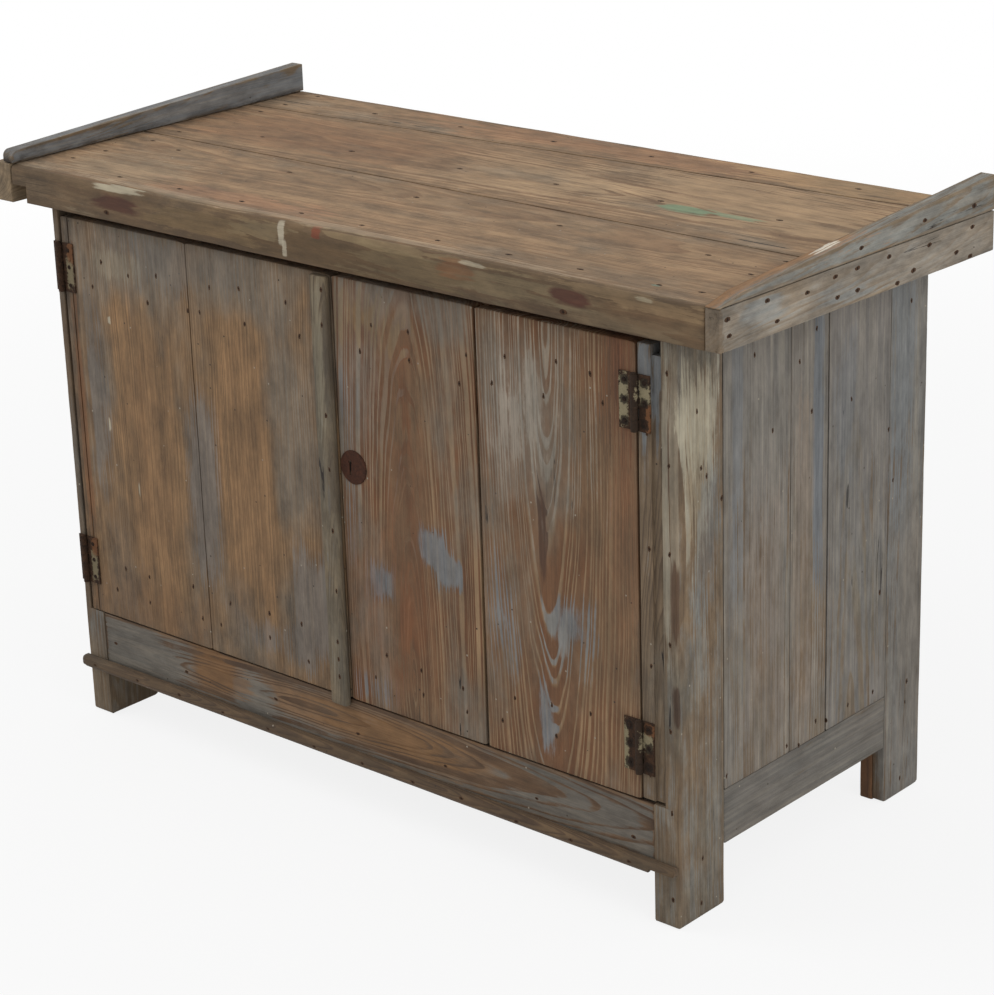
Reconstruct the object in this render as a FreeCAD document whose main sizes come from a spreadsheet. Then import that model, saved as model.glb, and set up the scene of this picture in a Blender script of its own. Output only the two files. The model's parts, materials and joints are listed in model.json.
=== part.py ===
import FreeCAD, Part
import math
import os
import re
import Sketcher

# A workshop cabinet of nailed boards: a plank worktop with raised strips at its two ends, four plank
# legs, boarded sides and back, and two doors of two boards each on surface butt hinges.
# Lengths are in millimetres. X runs along the worktop, Y from the doors to the back, Z is up, and the
# origin is the centre of the worktop's outline, on the ground.
# Places are written in the cabinet's own terms: x from the middle of the carcase, y from the face of
# the front legs, z from the ground. shift_x and shift_y then move them to the origin.

document = FreeCAD.newDocument("WorkshopCabinet")
sheet = document.addObject("Spreadsheet::Sheet", "sizes")

SIZES = {
    "body_width": 1086,
    "body_depth": 526,
    "body_height": 760,
    "worktop_thickness": 53,
    "worktop_front_overhang": 17,
    "worktop_back_overhang": 27,
    "worktop_left_overhang": 62,
    "worktop_right_overhang": 56,
    "front_plank_left_width": 246,
    "front_plank_right_width": 232,
    "back_plank_left_width": 111,
    "back_plank_right_width": 62,
    "plank_gap": 0.6,
    "plank_arris": 1.5,
    "worn_edge_1": 8,
    "worn_edge_2": 9,
    "worn_edge_3": 13,
    "worn_edge_4": 12,
    "worn_edge_5": 10,
    "worn_edge_6": 9,
    "worn_edge_7": 7,
    "worn_edge_8": 9,
    "worn_edge_9": 5,
    "notch_length": 30,
    "notch_depth": 45,
    "notch_height": 23,
    "notch_corner": 6,
    "left_batten_thickness": 33,
    "left_batten_drop": 3,
    "right_batten_thickness": 22,
    "right_batten_slope": 7,
    "left_gallery_thickness": 22,
    "left_gallery_back_height": 42,
    "left_gallery_front_height": 18,
    "left_gallery_setback": 17,
    "left_gallery_inset": 2,
    "left_gallery_nose": 10,
    "right_gallery_back_height": 39,
    "right_gallery_ramp_length": 42,
    "right_gallery_ramp_height": 10,
    "arris": 0.8,
    "board_gap": 0.8,
    "leg_thickness": 38,
    "front_leg_depth": 92,
    "left_rebate_width": 27,
    "right_rebate_width": 17,
    "rebate_depth": 22,
    "side_thickness": 18,
    "side_front_board": 136.5,
    "side_middle_board": 79,
    "side_wide_gap": 2.5,
    "back_leg_width": 83,
    "cleat_thickness": 20,
    "cleat_width": 65,
    "cleat_round": 4,
    "back_thickness": 18,
    "back_bottom_height": 100,
    "back_left_board": 350,
    "back_middle_board": 385,
    "floor_underside": 157,
    "floor_thickness": 20,
    "floor_front_board": 243,
    "side_rail_thickness": 30,
    "side_rail_height": 74,
    "top_rail_height": 45,
    "top_rail_thickness": 20,
    "head_rail_height": 38,
    "front_rail_bottom": 70,
    "front_rail_thickness": 35,
    "front_rail_setback": 1,
    "front_rail_lip": 3.5,
    "tenon_length": 20,
    "tenon_thickness": 12,
    "tenon_shoulder": 14,
    "moulding_bottom": 68,
    "moulding_height": 20,
    "moulding_depth": 12,
    "moulding_fillet": 7,
    "moulding_nose": 5,
    "moulding_overhang": 5,
    "chip_length": 45,
    "chip_height": 9.5,
    "shelf_height": 450,
    "shelf_thickness": 18,
    "shelf_front_gap": 3,
    "shelf_back_gap": 2,
    "housing_depth": 6,
    "door_thickness": 20,
    "door_floor_gap": 2.5,
    "door_top_gap": 13,
    "door_hinge_gap": 5,
    "right_door_hinge_gap": 3,
    "meeting_gap": 2,
    "meeting_offset": 5.5,
    "left_outer_board": 250.5,
    "left_board_gap": 1,
    "groove_distance": 13.5,
    "groove_width": 1.5,
    "groove_depth": 2,
    "right_inner_board": 238,
    "right_gap_top": 6,
    "right_gap_bottom": 4,
    "ledge_height": 70,
    "ledge_thickness": 18,
    "ledge_bevel": 6,
    "ledge_bottom_gap": 27,
    "ledge_top_gap": 37,
    "left_ledge_hinge_inset": 45,
    "right_ledge_hinge_inset": 40.5,
    "left_ledge_meeting_inset": 43.5,
    "right_ledge_meeting_inset": 36.5,
    "cover_width": 30.5,
    "cover_thickness": 10,
    "cover_round": 4,
    "cover_top_gap": 1,
    "cover_below_door": 10,
    "hinge_strip_thickness": 20,
    "hinge_strip_gap": 1,
    "hinge_strip_face": 19.5,
    "hinge_strip_reveal": 16.5,
    "hinge_strip_step": 3,
    "hinge_strip_bottom_gap": 3,
    "hinge_strip_top_gap": 12,
    "hinge_strip_pocket": 13,
    "hinge_height": 70,
    "hinge_standoff": 5,
    "upper_hinge_inset": 72,
    "left_lower_hinge_inset": 78,
    "right_lower_hinge_inset": 72,
    "barrel_radius": 4.5,
    "pin_radius": 2.25,
    "pin_play": 0.05,
    "pin_head_radius": 3.6,
    "pin_head_height": 1.8,
    "knuckle_gap": 0.3,
    "leaf_thickness": 2,
    "door_leaf_reach": 25,
    "left_frame_leaf_reach": 13,
    "right_frame_leaf_reach": 21,
    "escutcheon_radius": 23,
    "escutcheon_thickness": 1.5,
    "escutcheon_rim": 0.7,
    "escutcheon_inset": 23.5,
    "escutcheon_rise": 332,
    "keyhole_offset": 5,
    "keyhole_rise": 6,
    "keyhole_radius": 2.8,
    "keyhole_slot": 3.4,
    "keyhole_drop": 17,
    "lock_depth": 16,
    "lock_width": 74,
    "lock_height": 80,
    "lock_overhang": 2.5,
    "lock_key_depth": 4,
    "lock_bolt_thickness": 7,
    "lock_bolt_width": 18,
    "lock_bolt_length": 57.5,
    "lock_bolt_rise": 10,
    "lock_bolt_setback": 5,
    "lock_bolt_inset": 0.5,
    "lock_bolt_bevel": 1,
    "bolt_play": 0.3,
    "bolt_plate_width": 30,
    "bolt_plate_height": 108,
    "bolt_plate_thickness": 2,
    "bolt_plate_inset": 6.5,
    "bolt_plate_rise": 19,
    "rod_radius": 4,
    "rod_length": 105,
    "rod_standoff": 11,
    "rod_floor_gap": 3,
    "rod_bevel": 1,
    "staple_height": 8,
    "staple_wall": 3,
    "staple_inset": 16,
    "knob_radius": 3,
    "knob_length": 9,
    "knob_height": 56,
    "floor_hole_play": 0.8,
}

KNUCKLE_COUNT = 5
WORN_STATIONS = 9

# Planes and lines that several pieces share, each a formula of the sizes above.
PLACES = {
    "shift_x": "(left_batten_thickness + worktop_left_overhang - worktop_right_overhang"
               " - right_batten_thickness) / 2",
    "shift_y": "(worktop_front_overhang - body_depth - worktop_back_overhang) / 2",
    "body_right": "body_width / 2",
    "body_left": "-body_width / 2",
    "side_inner": "body_width / 2 - side_thickness",
    "leg_inner": "body_width / 2 - leg_thickness",
    "top_left": "-body_width / 2 - worktop_left_overhang",
    "top_right": "body_width / 2 + worktop_right_overhang",
    "top_front": "-worktop_front_overhang",
    "top_back": "body_depth + worktop_back_overhang",
    "top_surface": "body_height + worktop_thickness",
    "back_board_face": "body_depth - back_thickness",
    "back_leg_front": "body_depth - back_leg_width",
    "cleat_front": "back_board_face - cleat_width",
    "cleat_inner": "side_inner - cleat_thickness",
    "floor_top": "floor_underside + floor_thickness",
    "floor_front": "rebate_depth",
    "rail_top": "floor_underside + front_rail_lip",
    "door_bottom": "rail_top + door_floor_gap",
    "door_top": "body_height - door_top_gap",
    "left_door_edge": "body_left + leg_thickness - left_rebate_width + door_hinge_gap",
    "left_door_meeting": "-meeting_offset - meeting_gap / 2",
    "right_door_meeting": "-meeting_offset + meeting_gap / 2",
    "strip_right": "leg_inner + right_rebate_width - hinge_strip_gap",
    "strip_left": "leg_inner - hinge_strip_reveal",
    "strip_bottom": "door_bottom + hinge_strip_bottom_gap",
    "strip_top": "body_height - hinge_strip_top_gap",
    "right_door_edge": "strip_left - right_door_hinge_gap",
    "upper_hinge_centre": "door_top - upper_hinge_inset",
    "left_lower_hinge_centre": "door_bottom + left_lower_hinge_inset",
    "right_lower_hinge_centre": "door_bottom + right_lower_hinge_inset",
    "left_axis": "left_door_edge - door_hinge_gap / 2",
    "right_axis": "right_door_edge + right_door_hinge_gap / 2",
    "left_joint": "left_door_edge + left_outer_board",
    "right_joint": "right_door_meeting + right_inner_board",
    "leaf_start": "barrel_radius + knuckle_gap",
    "knuckle_pitch": "(hinge_height + knuckle_gap) / %d" % KNUCKLE_COUNT,
    "bore_radius": "pin_radius + pin_play",
    "escutcheon_x": "right_door_meeting + escutcheon_inset",
    "escutcheon_height": "door_bottom + escutcheon_rise",
    "keyhole_x": "escutcheon_x - keyhole_offset",
    "keyhole_z": "escutcheon_height + keyhole_rise",
    "keyhole_bottom": "keyhole_z - keyhole_drop",
    "lock_left": "right_door_meeting + lock_overhang",
    "lock_bottom": "escutcheon_height - lock_height / 2",
    "lock_bolt_left": "lock_left + lock_bolt_inset",
    "lock_bolt_front": "door_thickness + lock_bolt_setback",
    "lock_bolt_bottom": "escutcheon_height + lock_bolt_rise",
    "bolt_plate_right": "left_door_meeting - bolt_plate_inset",
    "bolt_plate_left": "bolt_plate_right - bolt_plate_width",
    "bolt_plate_bottom": "door_bottom + bolt_plate_rise",
    "rod_x": "bolt_plate_right - bolt_plate_width / 2",
    "rod_y": "door_thickness + rod_standoff",
    "rod_bottom": "floor_top + rod_floor_gap",
}

# A face or an edge counts as lying in a plane when it is this close to it.
SAME_PLACE = 0.001

ZERO = "0"

sub_parts = []


def fill_sheet():
    """One row for each size: its name in column A and its number, under that name, in column B."""
    for row, (name, value) in enumerate(SIZES.items(), start=1):
        sheet.set("A%d" % row, name)
        sheet.set("B%d" % row, str(value))
        sheet.setAlias("B%d" % row, name)
    document.recompute()


def formula(text):
    """Spell a formula of sizes and places out in the sheet's own cells."""
    def spell(match):
        word = match.group(0)
        if word in PLACES:
            return "(" + formula(PLACES[word]) + ")"
        return "sizes." + word
    return re.sub(r"[a-z][a-z_0-9]*", spell, text)


def number(text):
    """What a formula comes to now, in millimetres."""
    return float(sheet.evalExpression(formula(text)))


def bind(target, property_name, text):
    target.setExpression(property_name, formula(text))


def new_body(label, x, y, z):
    """A sub-part whose own origin is at (x, y, z) of the cabinet."""
    body = document.addObject("PartDesign::Body", label)
    body.Label = label
    bind(body, "Placement.Base.x", "shift_x + " + x)
    bind(body, "Placement.Base.y", "shift_y + " + y)
    bind(body, "Placement.Base.z", z)
    sub_parts.append(body)
    return body


def add_feature(body, kind, role):
    return body.newObject("PartDesign::" + kind, body.Label + "_" + role)


def add_box(body, role, start, size, kind="AdditiveBox"):
    """A square-cornered block from a corner of the body, or with SubtractiveBox a cut of that shape."""
    box = add_feature(body, kind, role)
    for side, text in zip(("Length", "Width", "Height"), size):
        bind(box, side, text)
    for axis, text in zip("xyz", start):
        bind(box, "Placement.Base." + axis, text)
    return box


def add_round(body, role, start, radius, height, kind="AdditiveCylinder"):
    """An upright cylinder that stands on a point of the body, or a round hole."""
    cylinder = add_feature(body, kind, role)
    bind(cylinder, "Radius", radius)
    bind(cylinder, "Height", height)
    for axis, text in zip("xyz", start):
        bind(cylinder, "Placement.Base." + axis, text)
    return cylinder


def edges_in(feature, x=None, y=None, z=None):
    """The names of the edges that lie wholly in the planes named, measured from the body's origin."""
    document.recompute()
    found = []
    for position, edge in enumerate(feature.Shape.Edges, start=1):
        box = edge.BoundBox
        spans = {"x": (box.XMin, box.XMax), "y": (box.YMin, box.YMax), "z": (box.ZMin, box.ZMax)}
        planes = {"x": x, "y": y, "z": z}
        wanted = [axis for axis in planes if planes[axis] is not None]
        if all(abs(end - number(planes[axis])) < SAME_PLACE for axis in wanted for end in spans[axis]):
            found.append("Edge%d" % position)
    return found


def bevel(body, role, feature, edges, size):
    cut = add_feature(body, "Chamfer", role)
    cut.Base = (feature, edges)
    bind(cut, "Size", size)
    return cut


def round_over(body, role, feature, edges, radius):
    rounding = add_feature(body, "Fillet", role)
    rounding.Base = (feature, edges)
    bind(rounding, "Radius", radius)
    return rounding


def board(label, x, y, z, worn="arris"):
    """One sawn board between three pairs of planes, its arrises taken off by wear."""
    body = new_body(label, x[0], y[0], z[0])
    size = ["(%s) - (%s)" % (high, low) for low, high in (x, y, z)]
    blank = add_box(body, "blank", (ZERO, ZERO, ZERO), size)
    if worn:
        bevel(body, "arrises", blank, edges_in(blank), worn)
    return body


def cut_away(body, role, corner, x, y, z):
    """Cut what lies between three pairs of the cabinet's planes out of a board that starts at corner."""
    start = ["(%s) - (%s)" % (span[0], origin) for span, origin in zip((x, y, z), corner)]
    size = ["(%s) - (%s)" % (high, low) for low, high in (x, y, z)]
    return add_box(body, role, start, size, "SubtractiveBox")


def origin_plane(body, role):
    return [plane for plane in body.Origin.OriginFeatures if plane.Role == role][0]


def new_sketch(body, role, plane, offset=None):
    """A sketch on one of the body's own origin planes, or that far along its normal."""
    sketch = body.newObject("Sketcher::SketchObject", body.Label + "_" + role)
    sketch.AttachmentSupport = [(origin_plane(body, plane), "")]
    sketch.MapMode = "FlatFace"
    if offset:
        bind(sketch, "AttachmentOffset.Base.z", offset)
    return sketch


def hold_point(sketch, line, end, place):
    """Tie one end of a line, or an arc's centre, to a place given by two formulas."""
    for direction, text in zip(("DistanceX", "DistanceY"), place):
        limit = Sketcher.Constraint(direction, -1, 1, line, end, number(text))
        bind(sketch, "Constraints[%d]" % sketch.addConstraint(limit), text)


def draw_outline(sketch, corners):
    """A closed outline of straight lines through corners that formulas place."""
    places = [FreeCAD.Vector(number(across), number(up), 0) for across, up in corners]
    for start, end in zip(places, places[1:] + places[:1]):
        sketch.addGeometry(Part.LineSegment(start, end), False)
    for line, corner in enumerate(corners):
        following = (line + 1) % len(corners)
        sketch.addConstraint(Sketcher.Constraint("Coincident", line, 2, following, 1))
        hold_point(sketch, line, 1, corner)


def pad(body, role, sketch, length, towards_back=False):
    """Thicken a sketch. On the XZ plane it grows to the front unless it is turned round."""
    solid = add_feature(body, "Pad", role)
    solid.Profile = sketch
    solid.Reversed = towards_back
    bind(solid, "Length", length)
    return solid


def section_board(label, plane, x, y, z, corners, length, towards_back=False):
    """A board whose section or outline is drawn and then padded."""
    body = new_body(label, x, y, z)
    sketch = new_sketch(body, "outline", plane)
    draw_outline(sketch, corners)
    return body, pad(body, "pad", sketch, length, towards_back)


def turned(label, plane, x, y, z, corners):
    """A turned piece: half its section, revolved about the sketch's upright axis."""
    body = new_body(label, x, y, z)
    sketch = new_sketch(body, "half_section", plane)
    draw_outline(sketch, corners)
    solid = add_feature(body, "Revolution", "turning")
    solid.Profile = sketch
    solid.ReferenceAxis = (sketch, ["V_Axis"])
    solid.Angle = 360
    return body


def front_legs():
    """Two plank legs, rebated on their front inner corners for the door and for the hinge strip."""
    rebate_bottom = "rail_top + door_floor_gap / 2"
    legs = (("left", "body_left", "-leg_inner", "-leg_inner - left_rebate_width", "-leg_inner"),
            ("right", "leg_inner", "body_right", "leg_inner", "leg_inner + right_rebate_width"))
    for side, low, high, rebate_low, rebate_high in legs:
        corner = (low, ZERO, ZERO)
        leg = board("front_post_" + side, (low, high), (ZERO, "front_leg_depth"), (ZERO, "body_height"))
        cut_away(leg, "rebate", corner, (rebate_low, rebate_high), (ZERO, "rebate_depth"),
                 (rebate_bottom, "body_height"))
        mortise_start = "-leg_inner - tenon_length" if side == "left" else "leg_inner"
        cut_away(leg, "mortise", corner, (mortise_start, mortise_start + " + tenon_length"),
                 tenon_y(), tenon_z())


def tenon_y():
    middle = "front_rail_setback + front_rail_thickness / 2"
    return (middle + " - tenon_thickness / 2", middle + " + tenon_thickness / 2")


def tenon_z():
    return ("front_rail_bottom + tenon_shoulder", "floor_underside - tenon_shoulder")


def back_legs():
    """At each back corner an outer board, and inside it a round-edged cleat that carries the ends."""
    for side, outer, inner in (("left", "body_left", "-side_inner"), ("right", "side_inner", "body_right")):
        board("back_post_" + side, (outer, inner), ("back_leg_front + board_gap / 2", "body_depth"),
              (ZERO, "body_height"))
    for side, low, high in (("left", "-side_inner", "-cleat_inner"), ("right", "cleat_inner", "side_inner")):
        cleat = board("back_post_cleat_" + side, (low, high), ("cleat_front", "back_board_face"),
                      (ZERO, "body_height"), worn=None)
        blank = cleat.Tip
        round_over(cleat, "foot", blank, edges_in(blank, z=ZERO), "cleat_round")


def side_boards():
    """Three upright boards on each side, each housed on its inner face for the shelf."""
    joint = "front_leg_depth + side_front_board"
    spans = (("front", "front_leg_depth + board_gap / 2", joint + " - board_gap / 2"),
             ("middle", joint + " + board_gap / 2", joint + " + side_middle_board - side_wide_gap / 2"),
             ("back", joint + " + side_middle_board + side_wide_gap / 2", "back_leg_front - board_gap / 2"))
    for side in ("right", "left"):
        x = ("side_inner", "body_right") if side == "right" else ("body_left", "-side_inner")
        housing = ("side_inner", "side_inner + housing_depth")
        if side == "left":
            housing = ("-side_inner - housing_depth", "-side_inner")
        for name, front, back in spans:
            z = ("floor_underside", "body_height")
            piece = board("side_board_%s_%s" % (side, name), x, (front, back), z)
            cut_away(piece, "housing", (x[0], front, z[0]), housing, (front, back),
                     ("shelf_height", "shelf_height + shelf_thickness"))


def side_rails():
    """A rail under each side and a narrower one inside its top, between the front and back legs."""
    y = ("front_leg_depth", "back_leg_front")
    bottom = ("floor_underside - side_rail_height", "floor_underside")
    top = ("body_height - top_rail_height", "body_height")
    board("side_rail_right", ("body_right - side_rail_thickness", "body_right"), y, bottom)
    board("side_rail_left", ("body_left", "body_left + side_rail_thickness"), y, bottom)
    y = ("front_leg_depth", "cleat_front")
    board("side_top_rail_right", ("side_inner - top_rail_thickness", "side_inner"), y, top)
    board("side_top_rail_left", ("-side_inner", "-side_inner + top_rail_thickness"), y, top)


def front_rails():
    """The bottom rail with its raised front lip and a tenon at each end, and the rail behind the doors."""
    y_front = ZERO
    y_back = "front_rail_thickness"
    y_lip = "rebate_depth - front_rail_setback - board_gap / 2"
    height = "floor_underside - front_rail_bottom"
    corners = ((y_front, ZERO), (y_back, ZERO), (y_back, height), (y_lip, height),
               (y_lip, height + " + front_rail_lip"), (y_front, height + " + front_rail_lip"))
    rail, padding = section_board("front_bottom_rail", "YZ_Plane", "-leg_inner", "front_rail_setback",
                                  "front_rail_bottom", corners, "2 * leg_inner")
    tenon_start_y = "front_rail_thickness / 2 - tenon_thickness / 2"
    tenon_height = height + " - 2 * tenon_shoulder"
    for end, start in (("left", "-tenon_length"), ("right", "2 * leg_inner")):
        add_box(rail, "tenon_" + end, (start, tenon_start_y, "tenon_shoulder"),
                ("tenon_length", "tenon_thickness", tenon_height))
    board("head_rail", ("-leg_inner", "leg_inner"), ("rebate_depth", "rebate_depth + top_rail_thickness"),
          ("body_height - head_rail_height", "body_height"))
    board("back_top_rail", ("-cleat_inner", "cleat_inner"),
          ("back_board_face - top_rail_thickness", "back_board_face"),
          ("body_height - top_rail_height", "body_height"))


def base_moulding():
    """A nosed moulding across the front legs, with the underside of its right end split away."""
    corners = ((ZERO, ZERO), ("moulding_fillet - moulding_depth", ZERO),
               ("-moulding_depth", "moulding_fillet"), ("-moulding_depth", "moulding_height"),
               (ZERO, "moulding_height"))
    length = "body_width + moulding_overhang"
    moulding, padding = section_board("base_moulding", "YZ_Plane", "body_left - moulding_overhang", ZERO,
                                      "moulding_bottom", corners, length)
    nose = round_over(moulding, "nose", padding,
                      edges_in(padding, y="-moulding_depth", z="moulding_height"), "moulding_nose")
    add_box(moulding, "split", (length + " - chip_length", "-moulding_depth", ZERO),
            ("chip_length", "moulding_depth", "chip_height"), "SubtractiveBox")


def floor_boards():
    """Two boards on the rails, notched round the legs, with a hole for the shutting bolt."""
    z = ("floor_underside", "floor_top")
    x = ("-side_inner", "side_inner")
    joint = "floor_front + floor_front_board"
    front = board("floor_board_front", x, ("floor_front", joint), z)
    back = board("floor_board_back", x, (joint + " + board_gap", "back_board_face - board_gap"), z)
    for side, low, high in (("left", "-side_inner", "-leg_inner"), ("right", "leg_inner", "side_inner")):
        cut_away(front, "notch_" + side, ("-side_inner", "floor_front", "floor_underside"),
                 (low, high), ("floor_front", "front_leg_depth"), z)
    for side, low, high in (("left", "-side_inner", "-cleat_inner"), ("right", "cleat_inner", "side_inner")):
        cut_away(back, "notch_" + side, ("-side_inner", joint + " + board_gap", "floor_underside"),
                 (low, high), ("cleat_front", "back_board_face"), z)
    add_round(front, "bolt_hole", ("rod_x + side_inner", "rod_y - floor_front", ZERO),
              "rod_radius + floor_hole_play", "floor_thickness", "SubtractiveCylinder")


def shelf():
    """One wide board that slides into the housings of the two sides."""
    board("shelf_board", ("-side_inner - housing_depth", "side_inner + housing_depth"),
          ("front_leg_depth + shelf_front_gap", "cleat_front - shelf_back_gap"),
          ("shelf_height", "shelf_height + shelf_thickness"), worn=None)


def back_boards():
    """Three upright boards of uneven width between the back legs."""
    first = "-side_inner + back_left_board"
    second = first + " + back_middle_board"
    spans = (("-side_inner", first), (first + " + board_gap", second),
             (second + " + board_gap", "side_inner"))
    for position, x in enumerate(spans, start=1):
        board("back_board_%d" % position, x, ("back_board_face", "body_depth"),
              ("back_bottom_height", "body_height"))


def worktop_front_plank():
    """The front plank: its upper front arris is worn round, more in some places than in others."""
    body = new_body("worktop_front_plank", "top_left", "top_front", "body_height")
    length = "body_width + worktop_left_overhang + worktop_right_overhang"
    sections = []
    for station in range(WORN_STATIONS):
        share = "%d / %d" % (station, WORN_STATIONS - 1)
        width = "front_plank_left_width + (front_plank_right_width - front_plank_left_width) * " + share
        sketch = new_sketch(body, "section_%d" % (station + 1), "YZ_Plane", "(%s) * %s" % (length, share))
        draw_worn_section(sketch, width, "worn_edge_%d" % (station + 1))
        sections.append(sketch)
    loft = add_feature(body, "AdditiveLoft", "loft")
    loft.Profile = sections[0]
    loft.Sections = sections[1:]
    loft.Ruled = True
    notch = add_box(body, "notch", (ZERO, ZERO, ZERO), ("notch_length", "notch_depth", "notch_height"),
                    "SubtractiveBox")
    round_over(body, "notch_corner", notch, edges_in(notch, x="notch_length", z="notch_height"),
               "notch_corner")


def draw_worn_section(sketch, width, wear):
    """A plank's section with a quarter round at its upper front corner."""
    corners = ((ZERO, ZERO), (width, ZERO), (width, "worktop_thickness"), (wear, "worktop_thickness"),
               (ZERO, "worktop_thickness - " + wear))
    places = [FreeCAD.Vector(number(across), number(up), 0) for across, up in corners]
    centre = FreeCAD.Vector(number(wear), number("worktop_thickness - " + wear), 0)
    circle = Part.Circle(centre, FreeCAD.Vector(0, 0, 1), number(wear))
    for start, end in zip(places[:3], places[1:4]):
        sketch.addGeometry(Part.LineSegment(start, end), False)
    arc = sketch.addGeometry(Part.ArcOfCircle(circle, math.pi / 2, math.pi), False)
    front = sketch.addGeometry(Part.LineSegment(places[4], places[0]), False)
    for line, following in ((0, 1), (1, 2), (2, arc), (arc, front), (front, 0)):
        sketch.addConstraint(Sketcher.Constraint("Coincident", line, 2, following, 1))
    for line, corner in zip((0, 1, 2, arc, front), corners):
        hold_point(sketch, line, 1, corner)
    limit = Sketcher.Constraint("Radius", arc, number(wear))
    bind(sketch, "Constraints[%d]" % sketch.addConstraint(limit), wear)


def worktop_back_planks():
    """The middle and back planks: sawn tapering, so the two seams run aslant."""
    length = "body_width + worktop_left_overhang + worktop_right_overhang"
    full_depth = "top_back - top_front"
    back_left = full_depth + " - back_plank_left_width"
    back_right = full_depth + " - back_plank_right_width"
    middle = ((ZERO, "front_plank_left_width + plank_gap"), (length, "front_plank_right_width + plank_gap"),
              (length, back_right + " - plank_gap"), (ZERO, back_left + " - plank_gap"))
    back = ((ZERO, back_left), (length, back_right), (length, full_depth), (ZERO, full_depth))
    for name, corners in (("middle", middle), ("back", back)):
        plank, padding = section_board("worktop_%s_plank" % name, "XY_Plane", "top_left", "top_front",
                                       "body_height", corners, "worktop_thickness")
        bevel(plank, "arrises", padding, edges_in(padding, z="worktop_thickness"), "plank_arris")


def worktop_ends():
    """A batten across each end of the planks, the right one sagging towards the back."""
    board("left_end_batten", ("top_left - left_batten_thickness", "top_left"), ("top_front", "top_back"),
          ("body_height - left_batten_drop", "top_surface"), worn="plank_arris")
    full_depth = "top_back - top_front"
    corners = ((ZERO, ZERO), (full_depth, "-right_batten_slope"),
               (full_depth, "worktop_thickness - right_batten_slope"), (ZERO, "worktop_thickness"))
    batten, padding = section_board("right_end_batten", "YZ_Plane", "top_right", "top_front",
                                    "body_height", corners, "right_batten_thickness")
    bevel(batten, "arrises", padding, edges_in(padding, x="right_batten_thickness"), "arris")


def gallery_strips():
    """A long wedge on top of each end batten, thin at the front and tall at the back."""
    left_depth = "top_back - top_front - left_gallery_inset"
    corners = ((ZERO, ZERO), (left_depth, ZERO), (left_depth, "left_gallery_back_height"),
               (ZERO, "left_gallery_front_height"))
    left, padding = section_board(
        "left_gallery_wedge", "YZ_Plane", "top_left - left_batten_thickness + left_gallery_setback",
        "top_front + left_gallery_inset", "top_surface", corners, "left_gallery_thickness")
    nose = edges_in(padding, y=ZERO, z="left_gallery_front_height")
    round_over(left, "nose", padding, nose, "left_gallery_nose")
    right_depth = "top_back - top_front"
    corners = ((ZERO, ZERO), (right_depth, "-right_batten_slope"),
               (right_depth, "right_gallery_back_height"),
               ("right_gallery_ramp_length", "right_gallery_ramp_height"))
    right, padding = section_board("right_gallery_wedge", "YZ_Plane", "top_right", "top_front",
                                   "top_surface", corners, "right_batten_thickness")


def hinge_strip():
    """The stepped strip in the right leg's rebate that the right door hangs on."""
    corner = ("strip_left", ZERO, "strip_bottom")
    strip = board("hinge_strip_right", ("strip_left", "strip_right"), (ZERO, "hinge_strip_thickness"),
                  ("strip_bottom", "strip_top"))
    step = "strip_left + hinge_strip_face"
    cut_away(strip, "step", corner, (step, "strip_right"), (ZERO, "hinge_strip_step"),
             ("strip_bottom", "strip_top"))
    cut_away(strip, "pocket", corner, (step, "strip_right"), (ZERO, "hinge_strip_thickness"),
             ("strip_top - hinge_strip_pocket", "strip_top"))


def left_door_boards():
    """Two upright boards; the outer one has a worn groove beside its hinge edge."""
    y = (ZERO, "door_thickness")
    z = ("door_bottom", "door_top")
    outer = board("left_door_outer_board", ("left_door_edge", "left_joint"), y, z)
    groove = "left_door_edge + groove_distance"
    cut_away(outer, "groove", ("left_door_edge", ZERO, "door_bottom"), (groove, groove + " + groove_width"),
             (ZERO, "groove_depth"), z)
    board("left_door_inner_board", ("left_joint + left_board_gap", "left_door_meeting"), y, z)


def right_door_boards():
    """Two upright boards with an open gap between them, wider at the top; the inner has the keyhole."""
    y = (ZERO, "door_thickness")
    z = ("door_bottom", "door_top")
    inner = board("right_door_inner_board", ("right_door_meeting", "right_joint"), y, z)
    cut_keyhole(inner, "right_door_meeting", "door_bottom")
    corners = (("right_gap_bottom", ZERO), ("right_door_edge - right_joint", ZERO),
               ("right_door_edge - right_joint", "door_top - door_bottom"),
               ("right_gap_top", "door_top - door_bottom"))
    outer, padding = section_board("right_door_outer_board", "XZ_Plane", "right_joint", ZERO, "door_bottom",
                                   corners, "door_thickness", towards_back=True)
    bevel(outer, "arrises", padding, edges_in(padding, y=ZERO), "arris")


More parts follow.
